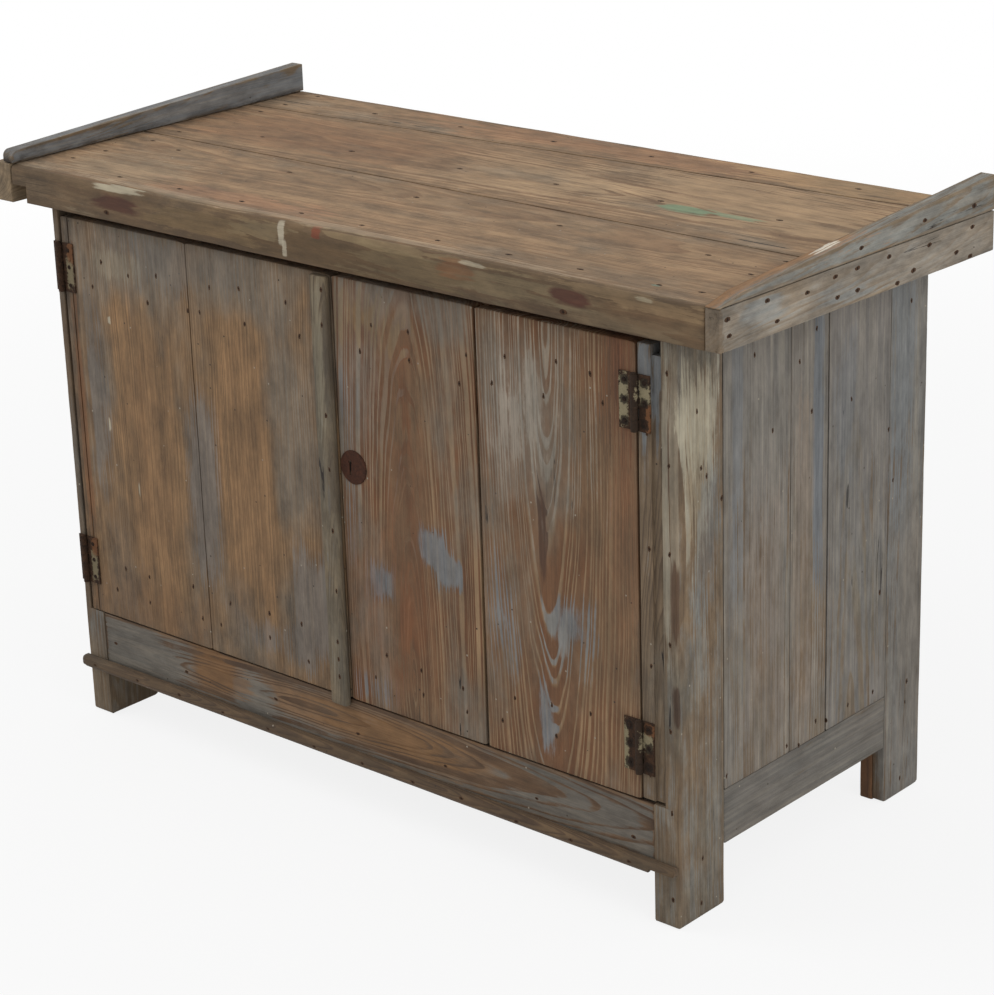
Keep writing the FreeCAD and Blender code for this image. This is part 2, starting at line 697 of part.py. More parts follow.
def cut_keyhole(body, origin_x, origin_z, depth=None):
    """A round hole with a slot below it, cut from the front; with no depth it goes right through."""
    sketch = new_sketch(body, "keyhole", "XZ_Plane")
    across = "keyhole_x - (%s)" % origin_x
    up = "keyhole_z - (%s)" % origin_z
    bottom = "keyhole_bottom - (%s)" % origin_z
    half_slot = math.asin(number("keyhole_slot") / 2 / number("keyhole_radius"))
    circle = Part.Circle(FreeCAD.Vector(number(across), number(up), 0), FreeCAD.Vector(0, 0, 1),
                         number("keyhole_radius"))
    down = -math.pi / 2
    curve = Part.ArcOfCircle(circle, down + half_slot, down + 2 * math.pi - half_slot)
    arc = sketch.addGeometry(curve, False)
    low_left = ("%s - keyhole_slot / 2" % across, bottom)
    low_right = ("%s + keyhole_slot / 2" % across, bottom)
    left_foot = FreeCAD.Vector(number(low_left[0]), number(low_left[1]), 0)
    right_foot = FreeCAD.Vector(number(low_right[0]), number(low_right[1]), 0)
    left_side = sketch.addGeometry(Part.LineSegment(curve.EndPoint, left_foot), False)
    foot = sketch.addGeometry(Part.LineSegment(left_foot, right_foot), False)
    right_side = sketch.addGeometry(Part.LineSegment(right_foot, curve.StartPoint), False)
    for line, following in ((arc, left_side), (left_side, foot), (foot, right_side), (right_side, arc)):
        sketch.addConstraint(Sketcher.Constraint("Coincident", line, 2, following, 1))
    sketch.addConstraint(Sketcher.Constraint("Vertical", left_side))
    sketch.addConstraint(Sketcher.Constraint("Vertical", right_side))
    hold_point(sketch, arc, 3, (across, up))
    hold_point(sketch, left_side, 2, low_left)
    hold_point(sketch, foot, 2, low_right)
    limit = Sketcher.Constraint("Radius", arc, number("keyhole_radius"))
    bind(sketch, "Constraints[%d]" % sketch.addConstraint(limit), "keyhole_radius")
    cut = add_feature(body, "Pocket", "keyhole_cut")
    cut.Profile = sketch
    if depth:
        bind(cut, "Length", depth)
    else:
        cut.Type = "ThroughAll"
        cut.Midplane = True


def door_ledges():
    """Two bevelled ledges behind each door, which hold its boards together."""
    y = ("door_thickness", "door_thickness + ledge_thickness")
    low = "door_bottom + ledge_bottom_gap"
    high = "door_top - ledge_top_gap"
    spans = (("left", "left_door_edge + left_ledge_hinge_inset",
              "left_door_meeting - left_ledge_meeting_inset"),
             ("right", "right_door_meeting + right_ledge_meeting_inset",
              "right_door_edge - right_ledge_hinge_inset"))
    levels = (("bottom", (low, low + " + ledge_height")), ("top", (high + " - ledge_height", high)))
    for side, start, end in spans:
        for place, z in levels:
            ledge = board("%s_door_%s_ledge" % (side, place), (start, end), y, z, worn=None)
            blank = ledge.Tip
            bevel(ledge, "bevels", blank, edges_in(blank, y="ledge_thickness"), "ledge_bevel")


def cover_strip():
    """A round-edged strip on the left door that hides the meeting joint."""
    strip = board("cover_strip", ("left_door_meeting - cover_width", "left_door_meeting"),
                  ("-cover_thickness", ZERO), ("door_bottom - cover_below_door", "door_top - cover_top_gap"),
                  worn=None)
    blank = strip.Tip
    front_arrises = edges_in(blank, x=ZERO, y=ZERO) + edges_in(blank, x="cover_width", y=ZERO)
    round_over(strip, "worn_edges", blank, front_arrises, "cover_round")


def hinge_leaf(label, axis_x, centre_z, side, reach, own_knuckles):
    """A flat plate beside the barrel, with a tongue and a rolled knuckle at each of its own places."""
    body = new_body(label, axis_x, "-hinge_standoff", centre_z + " - hinge_height / 2")
    back = "hinge_standoff - leaf_thickness"
    to_right = side == "right"
    plate_start = "leaf_start" if to_right else "-(%s)" % reach
    tongue_start = ZERO if to_right else "-leaf_start"
    add_box(body, "plate", (plate_start, back, ZERO),
            ("%s - leaf_start" % reach, "leaf_thickness", "hinge_height"))
    for knuckle in own_knuckles:
        bottom = "knuckle_pitch * %d" % knuckle
        height = "knuckle_pitch - knuckle_gap"
        add_box(body, "tongue_%d" % knuckle, (tongue_start, back, bottom),
                ("leaf_start", "leaf_thickness", height))
        add_round(body, "knuckle_%d" % knuckle, (ZERO, ZERO, bottom), "barrel_radius", height)
    add_round(body, "bore", (ZERO, ZERO, ZERO), "bore_radius", "hinge_height", "SubtractiveCylinder")


def hinge_pin(label, axis_x, centre_z):
    """A turned pin through all knuckles, whose head rests on the top one."""
    corners = ((ZERO, ZERO), ("pin_radius", ZERO), ("pin_radius", "hinge_height"),
               ("pin_head_radius", "hinge_height"), ("pin_head_radius", "hinge_height + pin_head_height / 2"),
               ("pin_radius", "hinge_height + pin_head_height"), (ZERO, "hinge_height + pin_head_height"))
    turned(label, "XZ_Plane", axis_x, "-hinge_standoff", centre_z + " - hinge_height / 2", corners)


def hinges():
    """Four surface butt hinges: three knuckles on the leg's leaf, two on the door's leaf, and a pin."""
    frame_knuckles = range(0, KNUCKLE_COUNT, 2)
    door_knuckles = range(1, KNUCKLE_COUNT, 2)
    doors = (("left", "left_axis", "left", "left_frame_leaf_reach", "right", "left_lower_hinge_centre"),
             ("right", "right_axis", "right", "right_frame_leaf_reach", "left", "right_lower_hinge_centre"))
    for name, axis_x, frame_side, frame_reach, door_side, lower_centre in doors:
        for level, centre in (("upper", "upper_hinge_centre"), ("lower", lower_centre)):
            hinge = "%s_%s_hinge" % (name, level)
            hinge_leaf(hinge + "_frame_leaf", axis_x, centre, frame_side, frame_reach, frame_knuckles)
            hinge_leaf(hinge + "_door_leaf", axis_x, centre, door_side, "door_leaf_reach", door_knuckles)
            hinge_pin(hinge + "_pin", axis_x, centre)


def lock():
    """The round keyhole plate, the lock's case behind the door and its sliding bolt."""
    corners = ((ZERO, ZERO), ("escutcheon_radius", ZERO), ("escutcheon_radius", "-escutcheon_rim"),
               ("escutcheon_radius - escutcheon_thickness", "-escutcheon_thickness"),
               (ZERO, "-escutcheon_thickness"))
    plate = turned("escutcheon", "XY_Plane", "escutcheon_x", ZERO, "escutcheon_height", corners)
    cut_keyhole(plate, "escutcheon_x", "escutcheon_height")
    corner = ("lock_left", "door_thickness", "lock_bottom")
    case = board("lock_case", ("lock_left", "lock_left + lock_width"),
                 ("door_thickness", "door_thickness + lock_depth"),
                 ("lock_bottom", "lock_bottom + lock_height"))
    cut_away(case, "bolt_channel", corner, ("lock_left", "lock_bolt_left + lock_bolt_length + bolt_play"),
             ("lock_bolt_front - bolt_play", "lock_bolt_front + lock_bolt_thickness + bolt_play"),
             ("lock_bolt_bottom - bolt_play", "lock_bolt_bottom + lock_bolt_width + bolt_play"))
    cut_keyhole(case, "lock_left", "lock_bottom", "lock_key_depth")
    board("lock_bolt", ("lock_bolt_left", "lock_bolt_left + lock_bolt_length"),
          ("lock_bolt_front", "lock_bolt_front + lock_bolt_thickness"),
          ("lock_bolt_bottom", "lock_bolt_bottom + lock_bolt_width"), worn="lock_bolt_bevel")


def shutting_bolt():
    """Inside the left door, a rod in two staples that drops into the floor, with a knob to move it."""
    plate = board("shutting_bolt_plate", ("bolt_plate_left", "bolt_plate_right"),
                  ("door_thickness", "door_thickness + bolt_plate_thickness"),
                  ("bolt_plate_bottom", "bolt_plate_bottom + bolt_plate_height"), worn=None)
    width = "2 * (rod_radius + bolt_play + staple_wall)"
    depth = "rod_standoff + rod_radius + bolt_play + staple_wall - bolt_plate_thickness"
    levels = ("staple_inset", "bolt_plate_height - staple_inset - staple_height")
    edge = "bolt_plate_width / 2 - rod_radius - bolt_play - staple_wall"
    for position, level in enumerate(levels, start=1):
        add_box(plate, "staple_%d" % position, (edge, "bolt_plate_thickness", level),
                (width, depth, "staple_height"))
    add_round(plate, "rod_way", ("bolt_plate_width / 2", "rod_standoff", ZERO),
              "rod_radius + bolt_play", "bolt_plate_height", "SubtractiveCylinder")
    rod = new_body("shutting_bolt_rod", "rod_x", "rod_y", "rod_bottom")
    stem = add_round(rod, "stem", (ZERO, ZERO, ZERO), "rod_radius", "rod_length")
    bevel(rod, "tip", stem, edges_in(stem, z=ZERO), "rod_bevel")
    knob = add_feature(rod, "AdditiveCylinder", "knob")
    knob.Placement.Rotation = FreeCAD.Rotation(FreeCAD.Vector(1, 0, 0), -90)
    bind(knob, "Radius", "knob_radius")
    bind(knob, "Height", "rod_radius + knob_length")
    bind(knob, "Placement.Base.z", "knob_height")


def check_model():
    """Stop if any feature has failed or any sub-part is empty or broken."""
    for thing in document.Objects:
        if "Invalid" in thing.State or "Error" in thing.State:
            raise RuntimeError("%s has failed: %s" % (thing.Label, thing.State))
    for part in sub_parts:
        if part.Shape.isNull() or not part.Shape.isValid():
            raise RuntimeError("%s has no valid shape" % part.Label)
        if len(part.Shape.Solids) != 1:
            raise RuntimeError("%s is %d solids" % (part.Label, len(part.Shape.Solids)))


def write_parts():
    """One file for each sub-part, named after it."""
    os.makedirs("parts", exist_ok=True)
    for part in sub_parts:
        part.Shape.exportStep(os.path.join("parts", part.Label + ".step"))


fill_sheet()
front_legs()
back_legs()
side_boards()
side_rails()
front_rails()
base_moulding()
floor_boards()
shelf()
back_boards()
worktop_front_plank()
worktop_back_planks()
worktop_ends()
gallery_strips()
hinge_strip()
left_door_boards()
right_door_boards()
door_ledges()
cover_strip()
hinges()
lock()
shutting_bolt()
document.recompute()
check_model()
write_parts()
print("wrote %d sub-parts" % len(sub_parts))
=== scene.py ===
# %% [markdown]
# A workshop cabinet in old painted pine.
# The imported CAD model is the fixed frame: every piece made here stands for one of its nodes or sits on one.
# Nothing is moved, so a board that is wrong here is wrong in the CAD model.

# %% Load the frame and measure its size
import json
import math

import bmesh
import bpy
from mathutils import Matrix, Vector, noise
from mathutils.bvhtree import BVHTree


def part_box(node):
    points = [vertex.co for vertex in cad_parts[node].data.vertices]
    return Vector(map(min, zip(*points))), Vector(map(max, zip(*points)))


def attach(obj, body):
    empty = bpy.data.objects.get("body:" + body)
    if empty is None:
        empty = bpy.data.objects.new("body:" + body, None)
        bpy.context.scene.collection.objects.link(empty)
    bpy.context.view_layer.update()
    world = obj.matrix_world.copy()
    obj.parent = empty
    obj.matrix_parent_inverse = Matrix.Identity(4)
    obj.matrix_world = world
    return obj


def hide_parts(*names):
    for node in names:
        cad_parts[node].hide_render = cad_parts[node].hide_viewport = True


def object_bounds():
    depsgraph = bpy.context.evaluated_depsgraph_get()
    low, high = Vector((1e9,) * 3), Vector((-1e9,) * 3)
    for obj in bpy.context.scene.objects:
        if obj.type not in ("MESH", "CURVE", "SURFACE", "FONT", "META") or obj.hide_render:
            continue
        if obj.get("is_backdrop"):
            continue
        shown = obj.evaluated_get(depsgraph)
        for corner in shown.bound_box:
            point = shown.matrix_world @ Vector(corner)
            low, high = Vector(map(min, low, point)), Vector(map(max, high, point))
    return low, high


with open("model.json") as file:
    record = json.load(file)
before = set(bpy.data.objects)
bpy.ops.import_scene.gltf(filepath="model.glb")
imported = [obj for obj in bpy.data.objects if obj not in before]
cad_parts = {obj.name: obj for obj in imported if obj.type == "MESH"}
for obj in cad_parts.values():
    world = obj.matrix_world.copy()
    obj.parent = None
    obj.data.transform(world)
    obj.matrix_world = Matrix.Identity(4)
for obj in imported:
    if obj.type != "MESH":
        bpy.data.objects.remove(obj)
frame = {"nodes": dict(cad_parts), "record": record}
cad_box = [list(corner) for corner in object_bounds()]
bodies = frame["record"]["behaviour"]["bodies"]
body_of_node = {node: body for body, nodes in bodies.items() for node in nodes}
slot_of_node = {part["node"]: part["material_slot"] for part in frame["record"]["subparts"]}

# %% [markdown]
# Lengths below are in millimetres, because boards are sawn in millimetres.
# They are measured in the carcase's own terms: x from its middle, y from the face of the front legs
# and z from the ground. Both starting points are read from the frame.

# %% Measures
MM = 0.001
CARCASE_X = (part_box("front_post_left")[0].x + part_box("front_post_right")[1].x) / 2
LEG_FACE_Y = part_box("front_post_left")[0].y
CARCASE_ZERO = Vector((CARCASE_X, LEG_FACE_Y, 0))


def at(x, y, z):
    """A place in carcase millimetres as a place in the frame's metres."""
    return CARCASE_ZERO + Vector((x, y, z)) * MM


def span(node):
    """A CAD node's lowest and highest corner in carcase millimetres."""
    return [(corner - CARCASE_ZERO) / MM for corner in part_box(node)]


for name in ("worktop_front_plank", "left_door_outer_board", "hinge_strip_right"):
    print(name, [[round(c, 1) for c in corner] for corner in span(name)])

# %% [markdown]
# Colours are written as sRGB hex values, as a paint chart or a photograph gives them.
# Blender's sockets want linear light, so one function converts them.

# %% Colour and node helpers


def linear(hex_colour, alpha=1):
    """An sRGB hex colour as the linear RGBA that a colour socket takes."""
    channels = [int(hex_colour[i:i + 2], 16) / 255 for i in (1, 3, 5)]
    return tuple(c / 12.92 if c <= 0.04045 else ((c + 0.055) / 1.055) ** 2.4 for c in channels) + (alpha,)


NODE_FAMILIES = ("ShaderNode", "GeometryNode", "FunctionNode", "")


def add(tree, kind, *inputs, **settings):
    """Add a node with its settings, and set or link its inputs: in their order, or a dict of them by name."""
    node = tree.nodes.new(next(f + kind for f in NODE_FAMILIES if hasattr(bpy.types, f + kind)))
    for name, value in settings.items():
        setattr(node, name, value)
    usable = [socket for socket in node.inputs if socket.enabled]
    in_order = dict(enumerate(inputs))
    for key, value in (inputs[0] if inputs and isinstance(inputs[0], dict) else in_order).items():
        socket = usable[key] if isinstance(key, int) else next(s for s in usable if s.name == key)
        if isinstance(value, bpy.types.Node):
            value = next(output for output in value.outputs if output.enabled)
        if isinstance(value, bpy.types.NodeSocket):
            tree.links.new(value, socket)
        else:
            socket.default_value = value
    return node


def empty_tree(owner):
    """The cleared node tree of a new material or world."""
    owner.use_nodes = True
    owner.node_tree.nodes.clear()
    return owner.node_tree


def new_group(name, kind, inputs, outputs):
    """A named node group; its inputs and outputs are socket kinds, each with the names of that kind."""
    tree = bpy.data.node_groups.new(name, kind)
    for way, sockets in (("INPUT", inputs), ("OUTPUT", outputs)):
        for kind, names in sockets:
            for name in names:
                tree.interface.new_socket(name=name, in_out=way, socket_type="NodeSocket" + kind)
    return tree


print("worn blue-grey paint in linear light:", [round(c, 3) for c in linear("#707479")])

# %% [markdown]
# Old pine that was painted long ago, then scrubbed and left in a damp workshop.
# Plain-sawn pine shows its year rings as long arches: pale spring wood between thin, dark, hard lines of
# late wood. The soft wood turns grey and holds milky remains of paint, while the hard lines stay brown.
# The rings here are distances from the tree's pith, a line beside the board that leans slightly, and
# that lean is what draws the arches. A picture of wood would repeat and slide; this way every board
# gets its own tree, and its end grain matches its face.

# %% The pine group: year rings
SMOOTH = {"interpolation_type": "SMOOTHSTEP"}
PINE_NUMBERS = ("Seed", "Pith Across", "Pith Depth", "Lean", "Ring Width", "Soft Share", "Late Strength",
                "Grain", "Mottle", "Weather", "Cover", "Held Off", "Grime", "Edge Wear")
PINE_COLOURS = ("Bare", "Late", "Grey", "Paint")
RING_BEND = 22
BEND_SCALE = (0.012, 0.012, 0.0026)
SLOW_YEARS, YEARS_APART = 0.4, 2.6
RISE_FROM = 0.34
LATE_WOOD_ENDS = (0.9, 1, 1, 0)


def pine_rings(tree, given, place):
    """The year rings around a leaning pith: 0 in soft spring wood, 1 on a ring's hard late wood."""
    slow = add(tree, "VectorMath", place, BEND_SCALE, operation="MULTIPLY")
    wander = add(tree, "TexNoise", {"Vector": slow, "Scale": 1, "Detail": 3}).outputs["Color"]
    shift = add(tree, "VectorMath", wander, (RING_BEND,) * 3, (-RING_BEND / 2,) * 3, operation="MULTIPLY_ADD")
    bent = add(tree, "VectorMath", given["Place"], shift, operation="ADD")
    axis = add(tree, "SeparateXYZ", bent).outputs
    across = add(tree, "Math", axis["X"], given["Pith Across"], operation="SUBTRACT")
    lean = add(tree, "Math", axis["Z"], given["Lean"], given["Pith Depth"], operation="MULTIPLY_ADD")
    depth = add(tree, "Math", axis["Y"], lean, operation="ADD")
    from_pith = add(tree, "CombineXYZ", across, depth)
    radius = add(tree, "VectorMath", from_pith, operation="LENGTH")
    years = add(tree, "Math", radius, given["Ring Width"], operation="DIVIDE")
    slow_years = add(tree, "Math", years, SLOW_YEARS, given["Seed"], operation="MULTIPLY_ADD")
    uneven = add(tree, "TexNoise", {"W": slow_years, "Scale": 1, "Detail": 1}, noise_dimensions="1D")
    counted = add(tree, "Math", uneven, YEARS_APART, years, operation="MULTIPLY_ADD")
    season = add(tree, "Math", counted, operation="FRACT")
    soft_start = add(tree, "Math", given["Soft Share"], RISE_FROM, operation="MULTIPLY")
    rise = add(tree, "MapRange", season, soft_start, given["Soft Share"], **SMOOTH)
    fall = add(tree, "MapRange", season, *LATE_WOOD_ENDS, **SMOOTH)
    return add(tree, "Math", rise, fall, operation="MULTIPLY")


# %% The pine group: patterns that follow the grain
FIBRE_WIDTH, STREAK_WIDTH, CRACK_SPACING = 0.9, 5, 16
# A noise's scale across, through and along the grain, per millimetre, then its detail and roughness.
PINE_PATTERNS = {"fibres": ((1 / FIBRE_WIDTH, 1 / FIBRE_WIDTH, 0.012), 3, 0.65),
                 "streaks": ((1 / STREAK_WIDTH, 1 / STREAK_WIDTH, 0.0032), 4, 0.6),
                 "cloud": ((0.014, 0.014, 0.0055), 5, 0.6),
                 "patches": ((0.034, 0.034, 0.009), 8, 0.7),
                 "soil": ((0.055, 0.055, 0.02), 6, 0.7),
                 "veins": ((1 / CRACK_SPACING, 1 / CRACK_SPACING, 0.0011), 1, 0.5)}


def pine_patterns(tree, place):
    """Noises at the sizes seen on old boards, most of them drawn out along the grain."""
    patterns = {}
    for name, (scale, detail, roughness) in PINE_PATTERNS.items():
        scaled = add(tree, "VectorMath", place, scale, operation="MULTIPLY")
        patterns[name] = add(tree, "TexNoise", {"Vector": scaled, "Scale": 1, "Detail": detail,
                                                "Roughness": roughness})
    return patterns


# %% The pine group: bare and weathered wood
# Ranges are a pattern's low and high value, then what they turn into.
LATE_BY_CLOUD = (0.36, 0.66, 1.15, 0.45)
GREY_FROM, GREY_SPREAD, GREY_ON_LINES = 0.9, 0.34, -0.75
TONES = {"fibres": (0.3, 0.7, -0.16, 0.12), "streaks": (0.3, 0.7, -0.14, 0.14),
         "soil": (0.3, 0.7, 0.12, -0.16), "patches": (0.3, 0.7, -0.2, 0.2),
         "cloud": (0.35, 0.65, 0.14, -0.14)}


def pine_wood(tree, given, late, patterns):
    """Brown wood with its rings and fibres, greyed in its soft parts where it has weathered."""
    fade = add(tree, "MapRange", patterns["cloud"], *LATE_BY_CLOUD)
    strength = add(tree, "Math", fade, given["Late Strength"], operation="MULTIPLY")
    line = add(tree, "Math", late, strength, operation="MULTIPLY", use_clamp=True)
    ringed = add(tree, "Mix", line, given["Bare"], given["Late"], data_type="RGBA")
    start = add(tree, "Math", GREY_FROM, given["Weather"], operation="SUBTRACT")
    end = add(tree, "Math", start, GREY_SPREAD, operation="ADD")
    greyed = add(tree, "MapRange", patterns["cloud"], start, end, **SMOOTH)
    soft = add(tree, "Math", line, GREY_ON_LINES, 1, operation="MULTIPLY_ADD")
    hold = add(tree, "Math", greyed, soft, operation="MULTIPLY")
    weathered = add(tree, "Mix", hold, ringed, given["Grey"], data_type="RGBA")
    tones = {name: add(tree, "MapRange", patterns[name], *change) for name, change in TONES.items()}
    grain = add(tree, "Math", tones["fibres"], tones["streaks"], operation="ADD")
    spotted = add(tree, "Math", tones["soil"], tones["patches"], operation="ADD")
    mottle = add(tree, "Math", spotted, tones["cloud"], operation="ADD")
    grained = add(tree, "Math", grain, given["Grain"], 1, operation="MULTIPLY_ADD")
    tone = add(tree, "Math", mottle, given["Mottle"], grained, operation="MULTIPLY_ADD")
    colour = add(tree, "VectorMath", weathered, tone, operation="SCALE")
    return {"Colour": colour, "Tone": tone}


# %% The pine group: what is left of the paint
GRAIN_IN_PAINT = 0.22
ARRIS_WORN = (0.6, 5, 0.4, 0)
PAINT_FROM, PAINT_SPREAD, PAINT_THICKEST = 1.2, 0.2, 0.88
MILKY = (0.45, 0.75, 0, 0.6)


def pine_paint(tree, given, late, patterns, wood):
    """Thin paint that has gone from the hard lines and the arrises first."""
    held_off = add(tree, "Math", late, given["Held Off"], patterns["patches"], operation="MULTIPLY_ADD")
    grained = add(tree, "Math", patterns["fibres"], GRAIN_IN_PAINT, held_off, operation="MULTIPLY_ADD")
    breakup = add(tree, "Math", patterns["streaks"], GRAIN_IN_PAINT, grained, operation="MULTIPLY_ADD")
    near = add(tree, "Attribute", attribute_name="edge_mm").outputs["Fac"]
    arris = add(tree, "MapRange", near, *ARRIS_WORN, **SMOOTH)
    rubbed = add(tree, "Math", arris, given["Edge Wear"], PAINT_FROM, operation="MULTIPLY_ADD")
    start = add(tree, "Math", rubbed, given["Cover"], operation="SUBTRACT")
    end = add(tree, "Math", start, PAINT_SPREAD, operation="ADD")
    left = add(tree, "MapRange", breakup, start, end, 0, PAINT_THICKEST, **SMOOTH)
    milky = add(tree, "MapRange", patterns["streaks"], *MILKY)
    hazed = add(tree, "Mix", milky, given["Paint"], given["Grey"], data_type="RGBA")
    shaded = add(tree, "VectorMath", hazed, wood["Tone"], operation="SCALE")
    painted = add(tree, "Mix", left, wood["Colour"], shaded, data_type="RGBA")
    return {"Colour": painted, "Left": left, "Breakup": breakup, "Near": near, "Tone": wood["Tone"]}


# %% The pine group: dirt, cracks and specks
GRIME, CRACK, PALE_SPECK, DARK_SPECK = "#2b2118", "#1d150e", "#8f8677", "#33271c"
SOILED, RIM = (0.42, 0.7), (0, 14, 0.6, 0)
CRACK_AT, CRACK_WIDTH, CRACK_CLOUDS, CRACK_DEPTH = 0.5, 0.005, (0.6, 0.64), -1.2
SPECK_SPACING, SPECK_REACH, PALE_SHARE = 24, 0.055, 0.45
ROUGHNESS = (0, 1, 0.86, 0.7)
RIDGE_HEIGHT = 0.3


def pine_dirt(tree, given, late, patterns, paint, place):
    """Dirt in clouds and along the edges, a few long cracks, and specks of old paint."""
    soiled = add(tree, "MapRange", patterns["soil"], *SOILED)
    rim = add(tree, "MapRange", paint["Near"], *RIM)
    both = add(tree, "Math", soiled, rim, operation="ADD", use_clamp=True)
    dirt = add(tree, "Math", both, given["Grime"], operation="MULTIPLY", use_clamp=True)
    dirty = add(tree, "Mix", dirt, paint["Colour"], linear(GRIME), data_type="RGBA")
    vein = add(tree, "Math", patterns["veins"], CRACK_AT, CRACK_WIDTH, operation="COMPARE")
    few = add(tree, "MapRange", patterns["cloud"], *CRACK_CLOUDS)
    crack = add(tree, "Math", vein, few, operation="MULTIPLY")
    cracked = add(tree, "Mix", crack, dirty, linear(CRACK), data_type="RGBA")
    spots = add(tree, "VectorMath", place, (1 / SPECK_SPACING,) * 3, operation="MULTIPLY")
    cells = add(tree, "TexVoronoi", {"Vector": spots, "Scale": 1}).outputs
    speck = add(tree, "Math", cells["Distance"], SPECK_REACH, operation="LESS_THAN")
    chance = add(tree, "SeparateXYZ", cells["Color"])
    dark = add(tree, "Math", chance, PALE_SHARE, operation="GREATER_THAN")
    speck_colour = add(tree, "Mix", dark, linear(PALE_SPECK), linear(DARK_SPECK), data_type="RGBA")
    speckled = add(tree, "Mix", speck, cracked, speck_colour, data_type="RGBA")
    matt = add(tree, "MapRange", paint["Left"], *ROUGHNESS)
    ridges = add(tree, "Math", late, RIDGE_HEIGHT, patterns["fibres"], operation="MULTIPLY_ADD")
    sunk = add(tree, "Math", crack, CRACK_DEPTH, ridges, operation="MULTIPLY_ADD")
    return {"Colour": speckled, "Roughness": matt, "Height": sunk, "Breakup": paint["Breakup"],
            "Tone": paint["Tone"]}


# %% The pine group, put together
SEED_SHIFT = (37.1, 11.7, 91.3)


def pine_group():
    """One group for all the wood: a board gives it its place in the tree, its colours and its wear."""
    tree = new_group("old_painted_pine", "ShaderNodeTree",
                     (("Vector", ("Place",)), ("Float", PINE_NUMBERS), ("Color", PINE_COLOURS)),
                     (("Color", ("Colour",)), ("Float", ("Roughness", "Height", "Breakup", "Tone"))))
    given = add(tree, "NodeGroupInput").outputs
    seed_step = add(tree, "VectorMath", SEED_SHIFT, given["Seed"], operation="SCALE")
    place = add(tree, "VectorMath", given["Place"], seed_step, operation="ADD")
    late = pine_rings(tree, given, place)
    patterns = pine_patterns(tree, place)
    wood = pine_wood(tree, given, late, patterns)
    paint = pine_paint(tree, given, late, patterns, wood)
    add(tree, "NodeGroupOutput", pine_dirt(tree, given, late, patterns, paint, place))
    return tree


PINE = pine_group()
print("pine group:", len(PINE.nodes), "nodes")

# %% [markdown]
# A finish for one board. The grain runs along one axis of the frame, so the Object coordinates are centred on
# the board, turned to millimetres and put in order: across the board, through it, along the grain.
# Where the photograph shows paint left in one place and scrubbed away in another, a patch raises or
# lowers that board's amount of paint, greying or dirt around a place, so the outline still follows the
# grain. Stains lay another colour over the board in the same way, and so do a few painted highlights and
# shades.

# %% Patches and stains
AXIS = {"x": 0, "y": 1, "z": 2}
FAR = 5000
RAGGED, NEARLY_SMOOTH = 2.6, 0.8
MEAN_BREAKUP = 0.58
STAIN_RIM = (0.46, 0.76)


def patch(plane, place, reach, amount):
    """A soft-edged place: plane names the axes that place and reach are measured along, in millimetres."""
    spot, size = [0] * 3, [FAR] * 3
    for axis, where, how_far in zip(plane, place, reach):
        spot[AXIS[axis]], size[AXIS[axis]] = where, how_far
    return spot, size, amount


def from_spot(tree, local, centre, spot, size):
    """How far a point is from a spot's middle, where 1 is the spot's reach; its corners are only rounded."""
    scale = tuple(1 / reach for reach in size)
    start = tuple((c - s) / reach for c, s, reach in zip(centre, spot, size))
    moved = add(tree, "Mapping", {"Vector": local, "Location": start, "Scale": scale})
    squared = add(tree, "VectorMath", moved, moved, operation="MULTIPLY")
    length = add(tree, "VectorMath", squared, operation="LENGTH")
    return add(tree, "Math", length, operation="SQRT")


def amount_over_board(tree, local, centre, amount, patches):
    """A number for the whole board, raised or lowered in its patches."""
    for spot, size, change in patches:
        distance = from_spot(tree, local, centre, spot, size)
        near = add(tree, "MapRange", distance, 0, 1, 1, 0, **SMOOTH)
        amount = add(tree, "Math", near, change, amount, operation="MULTIPLY_ADD")
    return amount


def lay_colour_patch(tree, colour, breakup, tone, local, centre, stain, paint, ragged=RAGGED):
    """Lay one stain or patch of painted light or shade over a colour: a patch whose amount is its strength,
    with a ragged outline.
    """
    spot, size, strength = stain
    distance = from_spot(tree, local, centre, spot, size)
    uneven = add(tree, "Math", breakup, MEAN_BREAKUP, operation="SUBTRACT")
    outline = add(tree, "Math", uneven, -ragged, distance, operation="MULTIPLY_ADD")
    mask = add(tree, "MapRange", outline, *STAIN_RIM, strength, 0, **SMOOTH)
    toned = add(tree, "VectorMath", linear(paint)[:3], tone, operation="SCALE")
    return add(tree, "Mix", mask, colour, toned, data_type="RGBA")


# %% A board's finish


